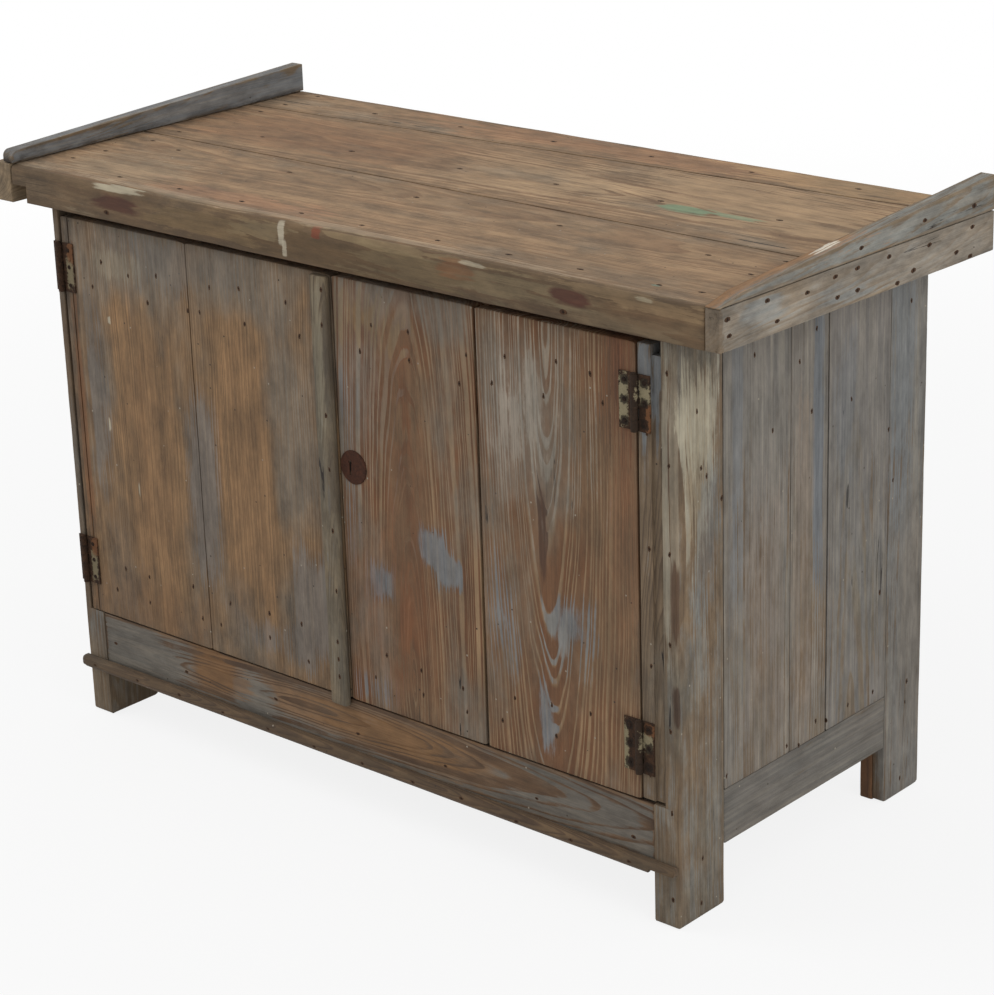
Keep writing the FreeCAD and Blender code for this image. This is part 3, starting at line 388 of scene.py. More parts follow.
def pine(name, axes, centre, seed, bare="#8a6f52", late="#553a24", grey="#7b7466", paint="#6f7276",
         weather=0.3, cover=0.3, held_off=-0.16, grime=0.4, ring=5, soft=0.88, pith=(20, 45), lean=0.06,
         late_strength=0.7, grain=1, mottle=0.8, edge_wear=0.6, weather_at=(), cover_at=(), grime_at=(),
         stains=()):
    """Old painted pine for one board: axes names what runs across it, through it and along its grain."""
    material = bpy.data.materials.new(name)
    tree = empty_tree(material)
    place = add(tree, "TexCoord").outputs["Object"]
    local = add(tree, "Mapping", {"Vector": place, "Location": -(at(*centre) / MM), "Scale": (1 / MM,) * 3})
    parts = add(tree, "SeparateXYZ", local)
    turned = add(tree, "CombineXYZ", *[parts.outputs[AXIS[axis]] for axis in axes])
    wear = {"Weather": amount_over_board(tree, local, centre, weather, weather_at),
            "Cover": amount_over_board(tree, local, centre, cover, cover_at),
            "Grime": amount_over_board(tree, local, centre, grime, grime_at)}
    wood = add(tree, "Group", {
        "Place": turned, "Seed": seed, "Pith Across": pith[0], "Pith Depth": pith[1], "Lean": lean,
        "Ring Width": ring, "Soft Share": soft, "Late Strength": late_strength, "Grain": grain,
        "Mottle": mottle, "Held Off": held_off, "Edge Wear": edge_wear, "Bare": linear(bare),
        "Late": linear(late), "Grey": linear(grey), "Paint": linear(paint), **wear}, node_tree=PINE).outputs
    colour = wood["Colour"]
    for stain in stains:
        colour = lay_colour_patch(tree, colour, wood["Breakup"], wood["Tone"], local, centre, *stain)
    bump = add(tree, "Bump", {"Height": wood["Height"], "Strength": 0.8, "Distance": MM * 0.6})
    shader = add(tree, "BsdfPrincipled", {"Base Color": colour, "Normal": bump,
                                          "Roughness": wood["Roughness"]})
    add(tree, "OutputMaterial", {"Surface": shader})
    return material


print("the finish of a board reads", len(PINE_NUMBERS), "numbers and", len(PINE_COLOURS), "colours")

# %% [markdown]
# A board is lofted: its section is drawn again every few millimetres along the grain, each time with
# slightly different worn corners. That gives arrises that wander, are knocked off here and nearly sharp
# there, as a bevel modifier can't. Each point also keeps its distance from the nearest arris, which the
# finish reads to put dirt and rubbed paint there.

# %% One section of a board
CORNER_POINTS = 5
SIDE_MARKS = (1.8, 5, 12)
SPREAD = 26
SHORTEST_SIDE = 2.2
MARK_CLEARANCE = 1.4
WIDEST_CORNER = 0.45
SEED_SPREAD = (7.3, 1.7)


def wavering(seed, along, length):
    """Smooth noise from 0 to 1 that changes over about the given length."""
    return 0.5 + 0.5 * noise.noise(Vector((along / length, seed * SEED_SPREAD[0], seed * SEED_SPREAD[1])))


def side_fractions(length):
    """Where points lie along one side of a section: close together near its ends, then evenly spaced."""
    near = [mark / length for mark in SIDE_MARKS if mark < length / SHORTEST_SIDE]
    steps = int(length // SPREAD) + 1
    first = near[-1] * MARK_CLEARANCE if near else 1
    inner = [i / steps for i in range(1, steps) if first < i / steps < 1 - first]
    return near + inner + [1 - fraction for fraction in reversed(near)]


def round_section(corners, radii, fractions):
    """One closed ring of points with a worn curve at each corner, and each point's distance from an arris."""
    starts, ends = [], []
    for i, corner in enumerate(corners):
        before, after = corners[i - 1] - corner, corners[(i + 1) % len(corners)] - corner
        reach = min(radii[i], before.length * WIDEST_CORNER, after.length * WIDEST_CORNER)
        starts.append(corner + before.normalized() * reach)
        ends.append(corner + after.normalized() * reach)
    ring, edge = [], []
    for i, corner in enumerate(corners):
        for step in range(CORNER_POINTS):
            t = step / (CORNER_POINTS - 1)
            ring.append(starts[i] * (1 - t) ** 2 + corner * 2 * t * (1 - t) + ends[i] * t ** 2)
            edge.append(0)
        side = starts[(i + 1) % len(corners)] - ends[i]
        for fraction in fractions[i]:
            ring.append(ends[i] + side * fraction)
            edge.append(min(fraction, 1 - fraction) * side.length)
    return ring, edge


# %% Lofted boards
STATION_STEP = 7
END_STATIONS = (0.14, 0.45, 1)
SHRINKAGE = 0.1
DEEPEST_DENT, DENT_ACROSS, DENT_ALONG = 0.35, 45, 70
LEAST_WEAR, WEAR_WANDER = 0.35, 60
KNOCK_DEPTH, KNOCK_LENGTH, KNOCK_FROM = 1.3, 14, 0.62
KNOCK_SEED = 9
TINY = 1e-6


def stations(low, high, end_reach, extra):
    """Where sections are drawn along the grain, closer together at the two ends."""
    steps = max(2, round((high - low) / STATION_STEP))
    places = [low + (high - low) * i / steps for i in range(steps + 1)]
    rounding = [end_reach * share for share in END_STATIONS]
    ends = [low + r for r in rounding] + [high - r for r in rounding]
    return sorted(set(round(p, 3) for p in places + ends + list(extra)))


def worn_share(seed, along):
    """How much of its wear an arris has at a place: a slow wander, and now and then a knock."""
    knock = max(0, wavering(seed + KNOCK_SEED, along, KNOCK_LENGTH) - KNOCK_FROM)
    return LEAST_WEAR + wavering(seed, along, WEAR_WANDER) + KNOCK_DEPTH * knock


def loft_board(name, axes, low, high, section, seed, wear=1.2, extra=(), dent=DEEPEST_DENT, end_round=1,
               end_reach=1.8, shrinkage=SHRINKAGE):
    """A mesh from section(along), which gives the corners across and through the board at that place."""
    places = stations(low, high, end_reach, extra)
    first = section((low + high) / 2)
    fractions = [side_fractions(max((first[(i + 1) % len(first)] - corner).length, 1))
                 for i, corner in enumerate(first)]
    vertices, edges, size = [], [], 0
    for along in places:
        radii = [wear * worn_share(seed + i, along) for i in range(len(first))]
        ring, edge = round_section(section(along), radii, fractions)
        size = len(ring)
        middle = sum(ring, Vector((0, 0))) / size
        half = max(1, min(max(p.x for p in ring) - min(p.x for p in ring),
                          max(p.y for p in ring) - min(p.y for p in ring)) / 2)
        to_end = min(along - low, high - along)
        inset = end_round * (1 - math.sqrt(max(0, 1 - (1 - min(1, to_end / end_reach)) ** 2)))
        for index, point in enumerate(ring):
            tangent = ring[(index + 1) % size] - ring[index - 1]
            inward = Vector((-tangent.y, tangent.x)).normalized() if tangent.length > TINY else Vector((0, 0))
            ripple = 0.5 + 0.5 * noise.noise(Vector((point.x / DENT_ACROSS, point.y / DENT_ACROSS + seed,
                                                     along / DENT_ALONG)))
            moved = point + inward * (shrinkage + dent * ripple) + (middle - point) * (inset / half)
            coordinates = [0, 0, 0]
            for axis, value in zip(axes, (moved.x, moved.y, along)):
                coordinates[AXIS[axis]] = value
            vertices.append(at(*coordinates))
            edges.append(min(edge[index], to_end))
    faces = []
    for row in range(len(places) - 1):
        for index in range(size):
            here, after = row * size + index, row * size + (index + 1) % size
            faces.append((here, after, after + size, here + size))
    faces.append(tuple(reversed(range(size))))
    faces.append(tuple((len(places) - 1) * size + index for index in range(size)))
    return new_mesh(name, vertices, faces, edges)


# %% Objects and their meshes
SHARP_ANGLE = 50


def new_object(name, data):
    """An object in the scene, at the frame's origin."""
    thing = bpy.data.objects.new(name, data)
    bpy.context.scene.collection.objects.link(thing)
    return thing


def plain_mesh(piece):
    """The mesh that a piece's modifiers make, as new data."""
    evaluated = piece.evaluated_get(bpy.context.evaluated_depsgraph_get())
    return bpy.data.meshes.new_from_object(evaluated)


def new_mesh(name, vertices, faces, edge_distances=None):
    """A smooth-shaded object with outward faces, at the frame's origin."""
    mesh = bpy.data.meshes.new(name)
    mesh.from_pydata(vertices, [], faces)
    if edge_distances:
        layer = mesh.attributes.new("edge_mm", "FLOAT", "POINT")
        layer.data.foreach_set("value", edge_distances)
    build = bmesh.new()
    build.from_mesh(mesh)
    bmesh.ops.remove_doubles(build, verts=build.verts, dist=TINY)
    bmesh.ops.recalc_face_normals(build, faces=build.faces)
    build.to_mesh(mesh)
    build.free()
    mesh.polygons.foreach_set("use_smooth", [True] * len(mesh.polygons))
    mesh.set_sharp_from_angle(angle=math.radians(SHARP_ANGLE))
    return new_object(name, mesh)


def stand_for(piece, node, material):
    """Give a piece its finish and let it take a CAD node's place on that node's body."""
    piece.data.materials.append(material)
    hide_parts(node)
    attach(piece, body_of_node[node])


# %% A board in place of its node
JUST_BESIDE = 0.05
SEED_STEP = 3.7
SHAPE = ("wear", "extra", "dent", "end_round", "end_reach", "shrinkage")
boards = {}


def both_sides(place):
    """Stations just before and just after a place where the section changes at once."""
    return place - JUST_BESIDE, place + JUST_BESIDE


def polygon(*corners):
    """A section's corners, each given across and through the board."""
    return [Vector(corner) for corner in corners]


def slab(low_across, high_across, low_through, high_through):
    """A section with four corners."""
    return polygon((low_across, low_through), (high_across, low_through), (high_across, high_through),
                   (low_across, high_through))


def board(node, axes, section=None, ends=None, **look):
    """Replace one CAD node by a lofted board; look names its wear, as loft_board has it, and its finish."""
    low, high = span(node)
    across, through, along = (AXIS[axis] for axis in axes)
    plain = slab(low[across], high[across], low[through], high[through])
    start, end = ends or (low[along], high[along])
    seed = (len(boards) + 1) * SEED_STEP
    shape = {key: look.pop(key) for key in SHAPE if key in look}
    piece = loft_board(node + "_wood", axes, start, end, section or (lambda place: plain), seed, **shape)
    stand_for(piece, node, pine(node + "_old_pine", axes, tuple((low + high) / 2), seed, **look))
    boards[node] = piece
    return piece


# %% [markdown]
# The worktop: three thick planks, scrubbed brown, with hardly any paint left. The front one is worn
# round along its upper front edge and has a notch cut out of its lower left end. The seams run aslant
# because the planks were never sawn parallel.

# %% Worktop measures
TOP_Z = span("worktop_back_plank")[1].z
TOP_UNDER = span("worktop_back_plank")[0].z
TOP_FRONT = span("worktop_front_plank")[0].y
TOP_BACK = span("worktop_back_plank")[1].y
TOP_LEFT = span("worktop_front_plank")[0].x
TOP_RIGHT = span("worktop_front_plank")[1].x
FRONT_SEAM = (229, 215)
BACK_SEAM = (442, 491)
SEAM_GAP = 1.5
NOTCH_LENGTH, NOTCH_DEPTH, NOTCH_HEIGHT = 30, 45, 23
FRONT_WEAR = (8, 9, 13, 12, 10, 9, 7, 9, 5)
ROUND_SHARE = 0.3


def seam_at(seam, x):
    """A seam's y at a place along the worktop."""
    return seam[0] + (seam[1] - seam[0]) * (x - TOP_LEFT) / (TOP_RIGHT - TOP_LEFT)


def front_wear_at(x):
    """How far the upper front arris is worn back, between the measured places."""
    place = (x - TOP_LEFT) / (TOP_RIGHT - TOP_LEFT) * (len(FRONT_WEAR) - 1)
    index = min(int(place), len(FRONT_WEAR) - 2)
    share = place - index
    return FRONT_WEAR[index] * (1 - share) + FRONT_WEAR[index + 1] * share


# %% Worktop planks


def front_plank_section(x):
    """From the lower front corner: under, back, top, then down the worn front arris."""
    notch = x < TOP_LEFT + NOTCH_LENGTH
    under = TOP_UNDER + NOTCH_HEIGHT if notch else TOP_UNDER
    inner = TOP_FRONT + NOTCH_DEPTH
    seam = seam_at(FRONT_SEAM, x)
    worn = front_wear_at(x)
    middle = worn * ROUND_SHARE
    return polygon((TOP_FRONT, under), (inner, under), (inner, TOP_UNDER), (seam, TOP_UNDER), (seam, TOP_Z),
                   (TOP_FRONT + worn, TOP_Z), (TOP_FRONT + middle, TOP_Z - middle), (TOP_FRONT, TOP_Z - worn))


def tapered_plank(front_seam, back_seam):
    """A plank between two aslant lines, each given as its y at the left and right ends."""
    return lambda x: slab(seam_at(front_seam, x), seam_at(back_seam, x), TOP_UNDER, TOP_Z)


# %% Worktop planks, made


def on_front_face(x, z, wide, high, strength, colour, ragged=RAGGED, deep=12):
    """A stain on the worktop's front face; the pale ones at its upper arris are painted highlights."""
    return patch("xyz", (x, TOP_FRONT, z), (wide, deep, high), strength), colour, ragged


top_look = dict(bare="#8f7456", late="#6a4d35", grey="#a08c73", paint="#938a78", weather=0.42, cover=0.26,
                grime=0.3, late_strength=0.6, ring=5, lean=0.03, dent=0.8, wear=1.6, edge_wear=1,
                shrinkage=0.6, grain=0.75, mottle=1.15)
front_edge_dirt = patch("yz", (TOP_FRONT - 6, TOP_UNDER), (26, 72), 0.35)
left_end_dirt = patch("x", (TOP_LEFT,), (110,), 0.3)
front_stains = (
    (patch("y", (TOP_FRONT,), (11,), 0.7), "#57452f"),
    (patch("yz", (TOP_FRONT, 765), (11, 12), 0.35), "#4a3a29"),
    on_front_face(-20, 780, 280, 24, 0.55, "#4b3921"),
    on_front_face(250, 786, 200, 20, 0.3, "#7f7458"),
    on_front_face(470, 772, 120, 10, 0.25, "#7d6f56"),
    on_front_face(505, 790, 60, 20, 0.4, "#5b432c"),
    on_front_face(490, 803, 120, 10, 0.5, "#8c7455", deep=14),
    on_front_face(150, 806, 160, 6, 0.5, "#8a7657", deep=14),
    on_front_face(-120, 792, 60, 12, 0.35, "#84765a"),
    # A pale mark on the upper front arris: a painted highlight.
    (patch("xyz", (-382, TOP_FRONT + 2, 807), (66, 10, 6), 0.75), "#a59c86", 2),
    on_front_face(-215, 786, 110, 24, 0.4, "#7c6647"),
    on_front_face(130, 778, 110, 20, 0.35, "#523e26"),
    on_front_face(225, 797, 34, 15, 0.5, "#704629", 1.8),
    on_front_face(403, 790, 40, 14, 0.92, "#472518", 1.1, deep=14),
    on_front_face(-392, 788, 62, 16, 0.92, "#422416", 1.1, deep=14),
    on_front_face(-74, 794, 8, 22, 0.8, "#a89e8a", NEARLY_SMOOTH, deep=16),
    on_front_face(-69, 777, 6, 17, 0.7, "#a89e8a", NEARLY_SMOOTH, deep=16),
    on_front_face(-12, 803, 10, 9, 0.75, "#70341f", 1.6, deep=16),
    # Two pale marks at the upper front arris: painted highlights.
    on_front_face(512, 806, 16, 3, 0.7, "#a89b80", deep=14),
    on_front_face(252, 806, 24, 4, 0.7, "#a89d87", deep=14),
    (patch("xy", (-210, 28), (170, 30), 0.35), "#9a6b4e"),
    (patch("xy", (410, 30), (110, 30), 0.35), "#6f5f4b"),
    (patch("xy", (-440, 60), (110, 60), 0.3), "#8a7d66"),
    (patch("xy", (500, 22), (9, 5), 0.7), "#6f8a78", 1.4),
    # A pale band along the top just behind the worn front arris: a painted highlight.
    (patch("xy", (-60, 0), (560, 9), 0.4), "#a5937a"))
board("worktop_front_plank", "yzx", front_plank_section, extra=both_sides(TOP_LEFT + NOTCH_LENGTH),
      pith=(60, 70), grime_at=(front_edge_dirt, left_end_dirt), stains=front_stains, **top_look)
middle_front = (FRONT_SEAM[0] + SEAM_GAP, FRONT_SEAM[1] + SEAM_GAP)
middle_back = (BACK_SEAM[0] - SEAM_GAP, BACK_SEAM[1] - SEAM_GAP)
middle_stains = ((patch("xy", (-330, 345), (280, 80), 0.5), "#765438"),
                 (patch("xy", (360, 380), (260, 110), 0.5), "#a98e6d"),
                 (patch("xy", (40, 330), (170, 90), 0.35), "#a98e6d"),
                 (patch("xy", (318, 316), (58, 22), 0.8), "#6f8a6c", 1.2),
                 (patch("xy", (385, 320), (60, 10), 0.65), "#768c70", 1.2))
back_stains = ((patch("xy", (60, 515), (420, 36), 0.4), "#94694a"),
               (patch("xy", (430, 530), (190, 60), 0.5), "#b09169"))
board("worktop_middle_plank", "yzx", tapered_plank(middle_front, middle_back), pith=(-30, 60),
      grime_at=(patch("xy", (-330, 330), (330, 90), 0.25), left_end_dirt),
      cover_at=(patch("xy", (300, 360), (330, 120), 0.15),), stains=middle_stains, **top_look)
board("worktop_back_plank", "yzx", tapered_plank(BACK_SEAM, (TOP_BACK, TOP_BACK)), pith=(40, 90),
      cover_at=(patch("xy", (320, 520), (330, 80), 0.15),), stains=back_stains, **top_look)

# %% [markdown]
# Each end of the worktop has a batten, and on it a long wedge that stops things from rolling off. The right
# batten sags towards the back, and its wedge starts with a short ramp. The left wedge has a rounded nose.

# %% Battens and wedges
RIGHT_SLOPE = 7
LEFT_WEDGE_RISE = (18, 42)
LEFT_WEDGE_NOSE = 10
RAMP_LENGTH, RAMP_HEIGHT, RIGHT_WEDGE_RISE, THINNEST_RAMP = 42, 10, 39, 0.6
NAILED_SHRINKAGE = 0.6


def share_back(y, front=TOP_FRONT):
    """How far back a place is, from 0 at the front to 1 at the back of the worktop."""
    return (y - front) / (TOP_BACK - front)


def right_batten_section(y):
    """The right batten, which sags towards the back."""
    low, high = span("right_end_batten")
    drop = RIGHT_SLOPE * share_back(y)
    return slab(TOP_UNDER - drop, TOP_Z - drop, low.x, high.x)


def left_wedge_section(y):
    """The left wedge, which rises towards the back from a rounded nose."""
    low, high = span("left_gallery_wedge")
    rise = LEFT_WEDGE_RISE[0] + (LEFT_WEDGE_RISE[1] - LEFT_WEDGE_RISE[0]) * share_back(y, low.y)
    into_nose = 1 - max(0, min(1, (y - low.y) / LEFT_WEDGE_NOSE))
    rise -= LEFT_WEDGE_NOSE * (1 - math.sqrt(1 - into_nose ** 2))
    return slab(TOP_Z, TOP_Z + rise, low.x, high.x)


def right_wedge_section(y):
    """The right wedge: a short ramp, then a slow rise; its foot follows the sagging batten."""
    low, high = span("right_gallery_wedge")
    base = TOP_Z - RIGHT_SLOPE * share_back(y)
    from_front = y - TOP_FRONT
    if from_front < RAMP_LENGTH:
        top = TOP_Z + RAMP_HEIGHT * from_front / RAMP_LENGTH
    else:
        behind = (from_front - RAMP_LENGTH) / (TOP_BACK - TOP_FRONT - RAMP_LENGTH)
        top = TOP_Z + RAMP_HEIGHT + (RIGHT_WEDGE_RISE - RAMP_HEIGHT) * behind
    top = max(top, base + THINNEST_RAMP)
    return slab(base, top, low.x, high.x)


# %% Battens and wedges, made
end_look = dict(bare="#8b775c", late="#5d4a38", grey="#8d8374", grime=0.25, late_strength=0.6, ring=5,
                shrinkage=NAILED_SHRINKAGE, mottle=1.2)
wedge_front = span("left_gallery_wedge")[0].y
board("left_end_batten", "zxy", weather=0.4, cover=0.4, wear=1, paint="#6c6d6b", **end_look)
board("right_end_batten", "zxy", right_batten_section, weather=0.65, cover=0.46, wear=1.6, paint="#80817d",
      stains=((patch("y", (-17,), (9,), 0.6), "#69563f"),),
      cover_at=(patch("y", (-17,), (45,), -0.5), patch("yz", (60, 795), (70, 40), 0.4),
                patch("yz", (230, 775), (130, 34), 0.3)), **{**end_look, "grey": "#90877a"})
board("left_gallery_wedge", "zxy", left_wedge_section,
      extra=[wedge_front + i for i in range(1, LEFT_WEDGE_NOSE)],
      weather=0.4, cover=0.8, wear=1.6, end_round=0.6, paint="#6e7377", edge_wear=0.4,
      grime_at=(patch("z", (813,), (11,), 0.6), patch("y", (-15,), (120,), 0.4)), **end_look)
wedge_inside = span("right_gallery_wedge")[0].x
board("right_gallery_wedge", "zxy", right_wedge_section, weather=0.5, cover=0.7, wear=0.8, end_round=0.4,
      paint="#82847f", cover_at=(patch("xy", (wedge_inside, 60), (15, 260), -1),),
      stains=((patch("xy", (wedge_inside, 90), (17, 190), 0.75), "#8c6540"),
              (patch("xyz", (wedge_inside, 206, 822), (12, 26, 14), 0.9), "#c4bdae")), **end_look)
print("worktop and ends:", len(boards), "boards")

# %% [markdown]
# The carcase: front legs with a rebate for the doors, back legs with a round-edged cleat inside, three
# boards on each side, rails and a nosed moulding. The front legs' grain runs upright, so across is x
# and along is z.

# %% Leg sections
REBATE_BOTTOM = 161.75
REBATE_DEPTH = 22
LEFT_REBATE, RIGHT_REBATE = 27, 17
HAIRLINE = 0.02


def leg_section(node, rebate):
    """A front leg's section: above the rail a corner is cut out for the door's edge."""
    low, high = span(node)
    left_leg = low.x < 0

    def section(z):
        cut = rebate if z > REBATE_BOTTOM else HAIRLINE
        deep = REBATE_DEPTH if z > REBATE_BOTTOM else HAIRLINE
        if left_leg:
            return polygon((low.x, low.y), (high.x - cut, low.y), (high.x - cut, low.y + deep),
                           (high.x, low.y + deep), (high.x, high.y), (low.x, high.y))
        return polygon((low.x + cut, low.y), (high.x, low.y), (high.x, high.y), (low.x, high.y),
                       (low.x, low.y + deep), (low.x + cut, low.y + deep))
    return section


# %% Legs
leg_look = dict(bare="#79654d", late="#54402e", grey="#7a7365", paint="#706d66", weather=0.5, grime=0.3,
                ring=4, pith=(60, 40), lean=0.02, late_strength=0.5, mottle=1.2, grain=1.2,
                edge_wear=0.35, end_round=3.2, end_reach=4.5)
corner = span("front_post_right")[1].x
right_leg_stains = (
    (patch("xyz", (527, 0, 560), (9, 5, 250), 0.7), "#8c8473", 1.2),
    (patch("xyz", (540, 0, 545), (9, 9, 260), 0.65), "#8a7f6d", 1.2),
    (patch("xyz", (532.5, 0, 610), (1.6, 5, 70), 0.8), "#4a3321", NEARLY_SMOOTH),
    (patch("xyz", (corner, 46, 650), (7, 38, 80), 0.45), "#a9a28d"),
    (patch("xyz", (corner, 38, 600), (7, 28, 140), 0.4), "#a0967f"),
    (patch("xyz", (corner - 2, 0, 430), (9, 9, 66), 0.85), "#452c17", 1.4),
    (patch("xyz", (corner - 2, 0, 298), (7, 7, 34), 0.85), "#3d2716", 1.4),
    (patch("xyz", (corner, 60, 500), (7, 26, 90), 0.35), "#5f676b"))
board("front_post_left", "xyz", leg_section("front_post_left", LEFT_REBATE),
      extra=both_sides(REBATE_BOTTOM), wear=2, cover=0.6,
      stains=((patch("z", (20,), (90,), 0.5), "#6c5940"),),
      **{**leg_look, "bare": "#6c5944", "grey": "#6c665b", "paint": "#63635f"})
board("front_post_right", "xyz", leg_section("front_post_right", RIGHT_REBATE),
      extra=both_sides(REBATE_BOTTOM), wear=2.4, cover=0.6, stains=right_leg_stains, **leg_look)
for side in ("left", "right"):
    board("back_post_" + side, "yxz", wear=1.6, cover=0.8, cover_at=(patch("z", (640,), (160,), 0.2),),
          stains=((patch("yz", (470, 600), (26, 240), 0.45), "#646b70"),
                  (patch("yz", (500, 250), (30, 180), 0.4), "#74695c")),
          **{**leg_look, "paint": "#6e6d69"})
    board("back_post_cleat_" + side, "yxz", wear=4, bare="#7a5638", late="#4d3220", weather=0.1, cover=0,
          grime=0.4, ring=4)

# %% Sides and back
INNER_FACE = span("side_board_right_front")[0].x
side_look = dict(bare="#7f6a52", late="#4b3d2f", grey="#878072", weather=0.55, grime=0.2, late_strength=0.6,
                 wear=0.7, grain=1.3, mottle=1, held_off=-0.2, edge_wear=0.1)
BLUE_LEFT = "#60656a"
side_boards = {"front": dict(cover=0.68, pith=(160, 60), lean=0.02, ring=3.4, paint="#706c66",
                             stains=((patch("yz", (120, 610), (12, 200), 0.5), BLUE_LEFT),
                                     (patch("yz", (175, 330), (40, 190), 0.3), "#7b6959"))),
               "middle": dict(cover=0.66, pith=(80, 30), lean=0.02, ring=4, paint="#716c65",
                              stains=((patch("yz", (286, 560), (13, 280), 0.8), BLUE_LEFT, 1.4),
                                      (patch("yz", (255, 400), (20, 200), 0.35), "#806c58"))),
               "back": dict(cover=0.74, pith=(-10, 50), lean=0.04, ring=6, paint="#6d6a66",
                            stains=((patch("yz", (345, 590), (24, 90), 0.35), BLUE_LEFT),
                                    (patch("yz", (350, 465), (3, 17), 0.9), "#1d1712")))}
for side, sign in (("left", -1), ("right", 1)):
    bare_inside = patch("x", (sign * INNER_FACE,), (10,), -1)
    for place, look in side_boards.items():
        board("side_board_%s_%s" % (side, place), "yxz", cover_at=(
            bare_inside, patch("z", (700,), (380,), 0.22)), **side_look, **look)
    board("side_rail_" + side, "zxy", pith=(50, 30), lean=0.02, cover=0.9, ring=4,
          **{**side_look, "paint": "#63605b", "grain": 0.9, "mottle": 0.8})
for number in (1, 2, 3):
    board("back_board_%d" % number, "xyz", pith=(20 * number - 40, 40), lean=0.05, bare="#7c6a54",
          late="#4f3f30", weather=0.5, cover=0.15, grime=0.4, ring=6)

# %% [markdown]
# The bottom rail carries the doors' lower edge on a lip. Only the part between the legs is drawn, because
# its tenons stay hidden in the legs.

# %% Bottom rail
DOOR_PLAY = 0.5


def bottom_rail_section(x):
    """The rail's front lip stands a little higher than its back."""
    low, high = span("front_bottom_rail")
    back_top = span("floor_board_front")[0].z
    lip = REBATE_DEPTH - DOOR_PLAY
    return polygon((low.z, low.y), (high.z, low.y), (high.z, lip), (back_top, lip), (back_top, high.y),
                   (low.z, high.y))


rail_paint = (patch("xz", (-430, 110), (110, 60), 0.5),
              patch("xz", (-275, 135), (52, 46), -0.9),
              patch("xz", (-200, 105), (60, 34), 0.3),
              patch("xz", (-90, 128), (130, 34), -0.45),
              patch("xz", (120, 125), (190, 40), -0.5))
board("front_bottom_rail", "zyx", bottom_rail_section,
      ends=(span("front_post_left")[1].x, span("front_post_right")[0].x), wear=1.6, bare="#7a5f45",
      late="#46311f", grey="#6a6357", paint="#605d56", weather=0.4, cover=0.74, grime=0.35, ring=6,
      stains=((patch("xz", (-272, 136), (60, 44), 0.55), "#6f4d29"),
              (patch("xz", (60, 130), (170, 36), 0.45), "#78542c")),
      pith=(10, 24), lean=0.08, late_strength=0.85, held_off=-0.24, soft=0.85, grain=1.2,
      cover_at=rail_paint)

# %% [markdown]
# The base moulding: a bead nailed across the legs. Its left end runs past the leg, and the underside of its
# right end has split away.

# %% Base moulding
MOULDING_FILLET, MOULDING_NOSE = 7, 5
CHIP_LENGTH, CHIP_HEIGHT, CHIP_START = 45, 9.5, 6
LEAST_RISE, LEAST_FILLET = 0.4, 0.1


def moulding_section(x):
    """From the lower back corner: along the underside, out over the fillet, and round the nose."""
    low, high = span("base_moulding")
    split = max(0, min(1, (x - (high.x - CHIP_LENGTH)) / CHIP_START))
    under = low.z + CHIP_HEIGHT * split
    fillet_z = max(low.z + MOULDING_FILLET, under + LEAST_RISE)
    foot_y = low.y + MOULDING_FILLET * (1 - split) + LEAST_FILLET * split
    middle = MOULDING_NOSE * ROUND_SHARE
    return polygon((under, high.y), (under, foot_y), (fillet_z, low.y), (high.z - MOULDING_NOSE, low.y),
                   (high.z - middle, low.y + middle), (high.z, low.y + MOULDING_NOSE), (high.z, high.y))


chip_start = span("base_moulding")[1].x - CHIP_LENGTH
board("base_moulding", "zyx", moulding_section,
      extra=[chip_start + CHIP_START * i / 4 for i in range(5)], wear=1.4,
      bare="#6c563d", late="#443123", grey="#645b4c", paint="#605c53", weather=0.4, cover=0.45, grime=0.5,
      ring=3, end_round=3)

# %% [markdown]
# The hinge strip: a stepped strip of its own in the right leg's rebate, which the right door hangs on.

# %% Hinge strip
STRIP_FACE, STRIP_STEP, STRIP_POCKET = 19.5, 3, 13


def hinge_strip_section(z):
    """The strip's narrow inner part stands behind the wide part's face, and stops short at the top."""
    low, high = span("hinge_strip_right")
    step = low.x + STRIP_FACE
    right = step + JUST_BESIDE if z > high.z - STRIP_POCKET else high.x
    return polygon((low.x, low.y), (step, low.y), (step, low.y + STRIP_STEP), (right, low.y + STRIP_STEP),
                   (right, high.y), (low.x, high.y))


pocket_z = span("hinge_strip_right")[1].z - STRIP_POCKET
board("hinge_strip_right", "xyz", hinge_strip_section, extra=both_sides(pocket_z), wear=1.2,
      bare="#7a6750", late="#4f3f30", grey="#767065", paint="#6f7579", weather=0.4, cover=0.5, grime=0.35,
      ring=3, cover_at=(patch("z", (710,), (120,), 0.5), patch("z", (330,), (60,), -0.4)))

# %% [markdown]
# The doors: two wide boards each, bare inside. The left pair has fine straight grain, ochre where hands
# and water scrubbed it and grey-blue where paint is left. The right pair shows the boldest grain of the
# cabinet, red-brown arches with pale wood between them, and blue paint in a few patches.

# %% Left door
DOOR_BACK = span("left_door_outer_board")[1].y
GROOVE_AT, GROOVE_WIDTH, GROOVE_DEPTH = 13.5, 1.5, 2
bare_back = patch("y", (DOOR_BACK,), (12,), -1)


def grooved_board_section(z):
    """The outer left board, with a narrow groove beside the hinges."""
    low, high = span("left_door_outer_board")
    groove = low.x + GROOVE_AT
    return polygon((low.x, low.y), (groove, low.y), (groove, low.y + GROOVE_DEPTH),
                   (groove + GROOVE_WIDTH, low.y + GROOVE_DEPTH), (groove + GROOVE_WIDTH, low.y),
                   (high.x, low.y), (high.x, high.y), (low.x, high.y))


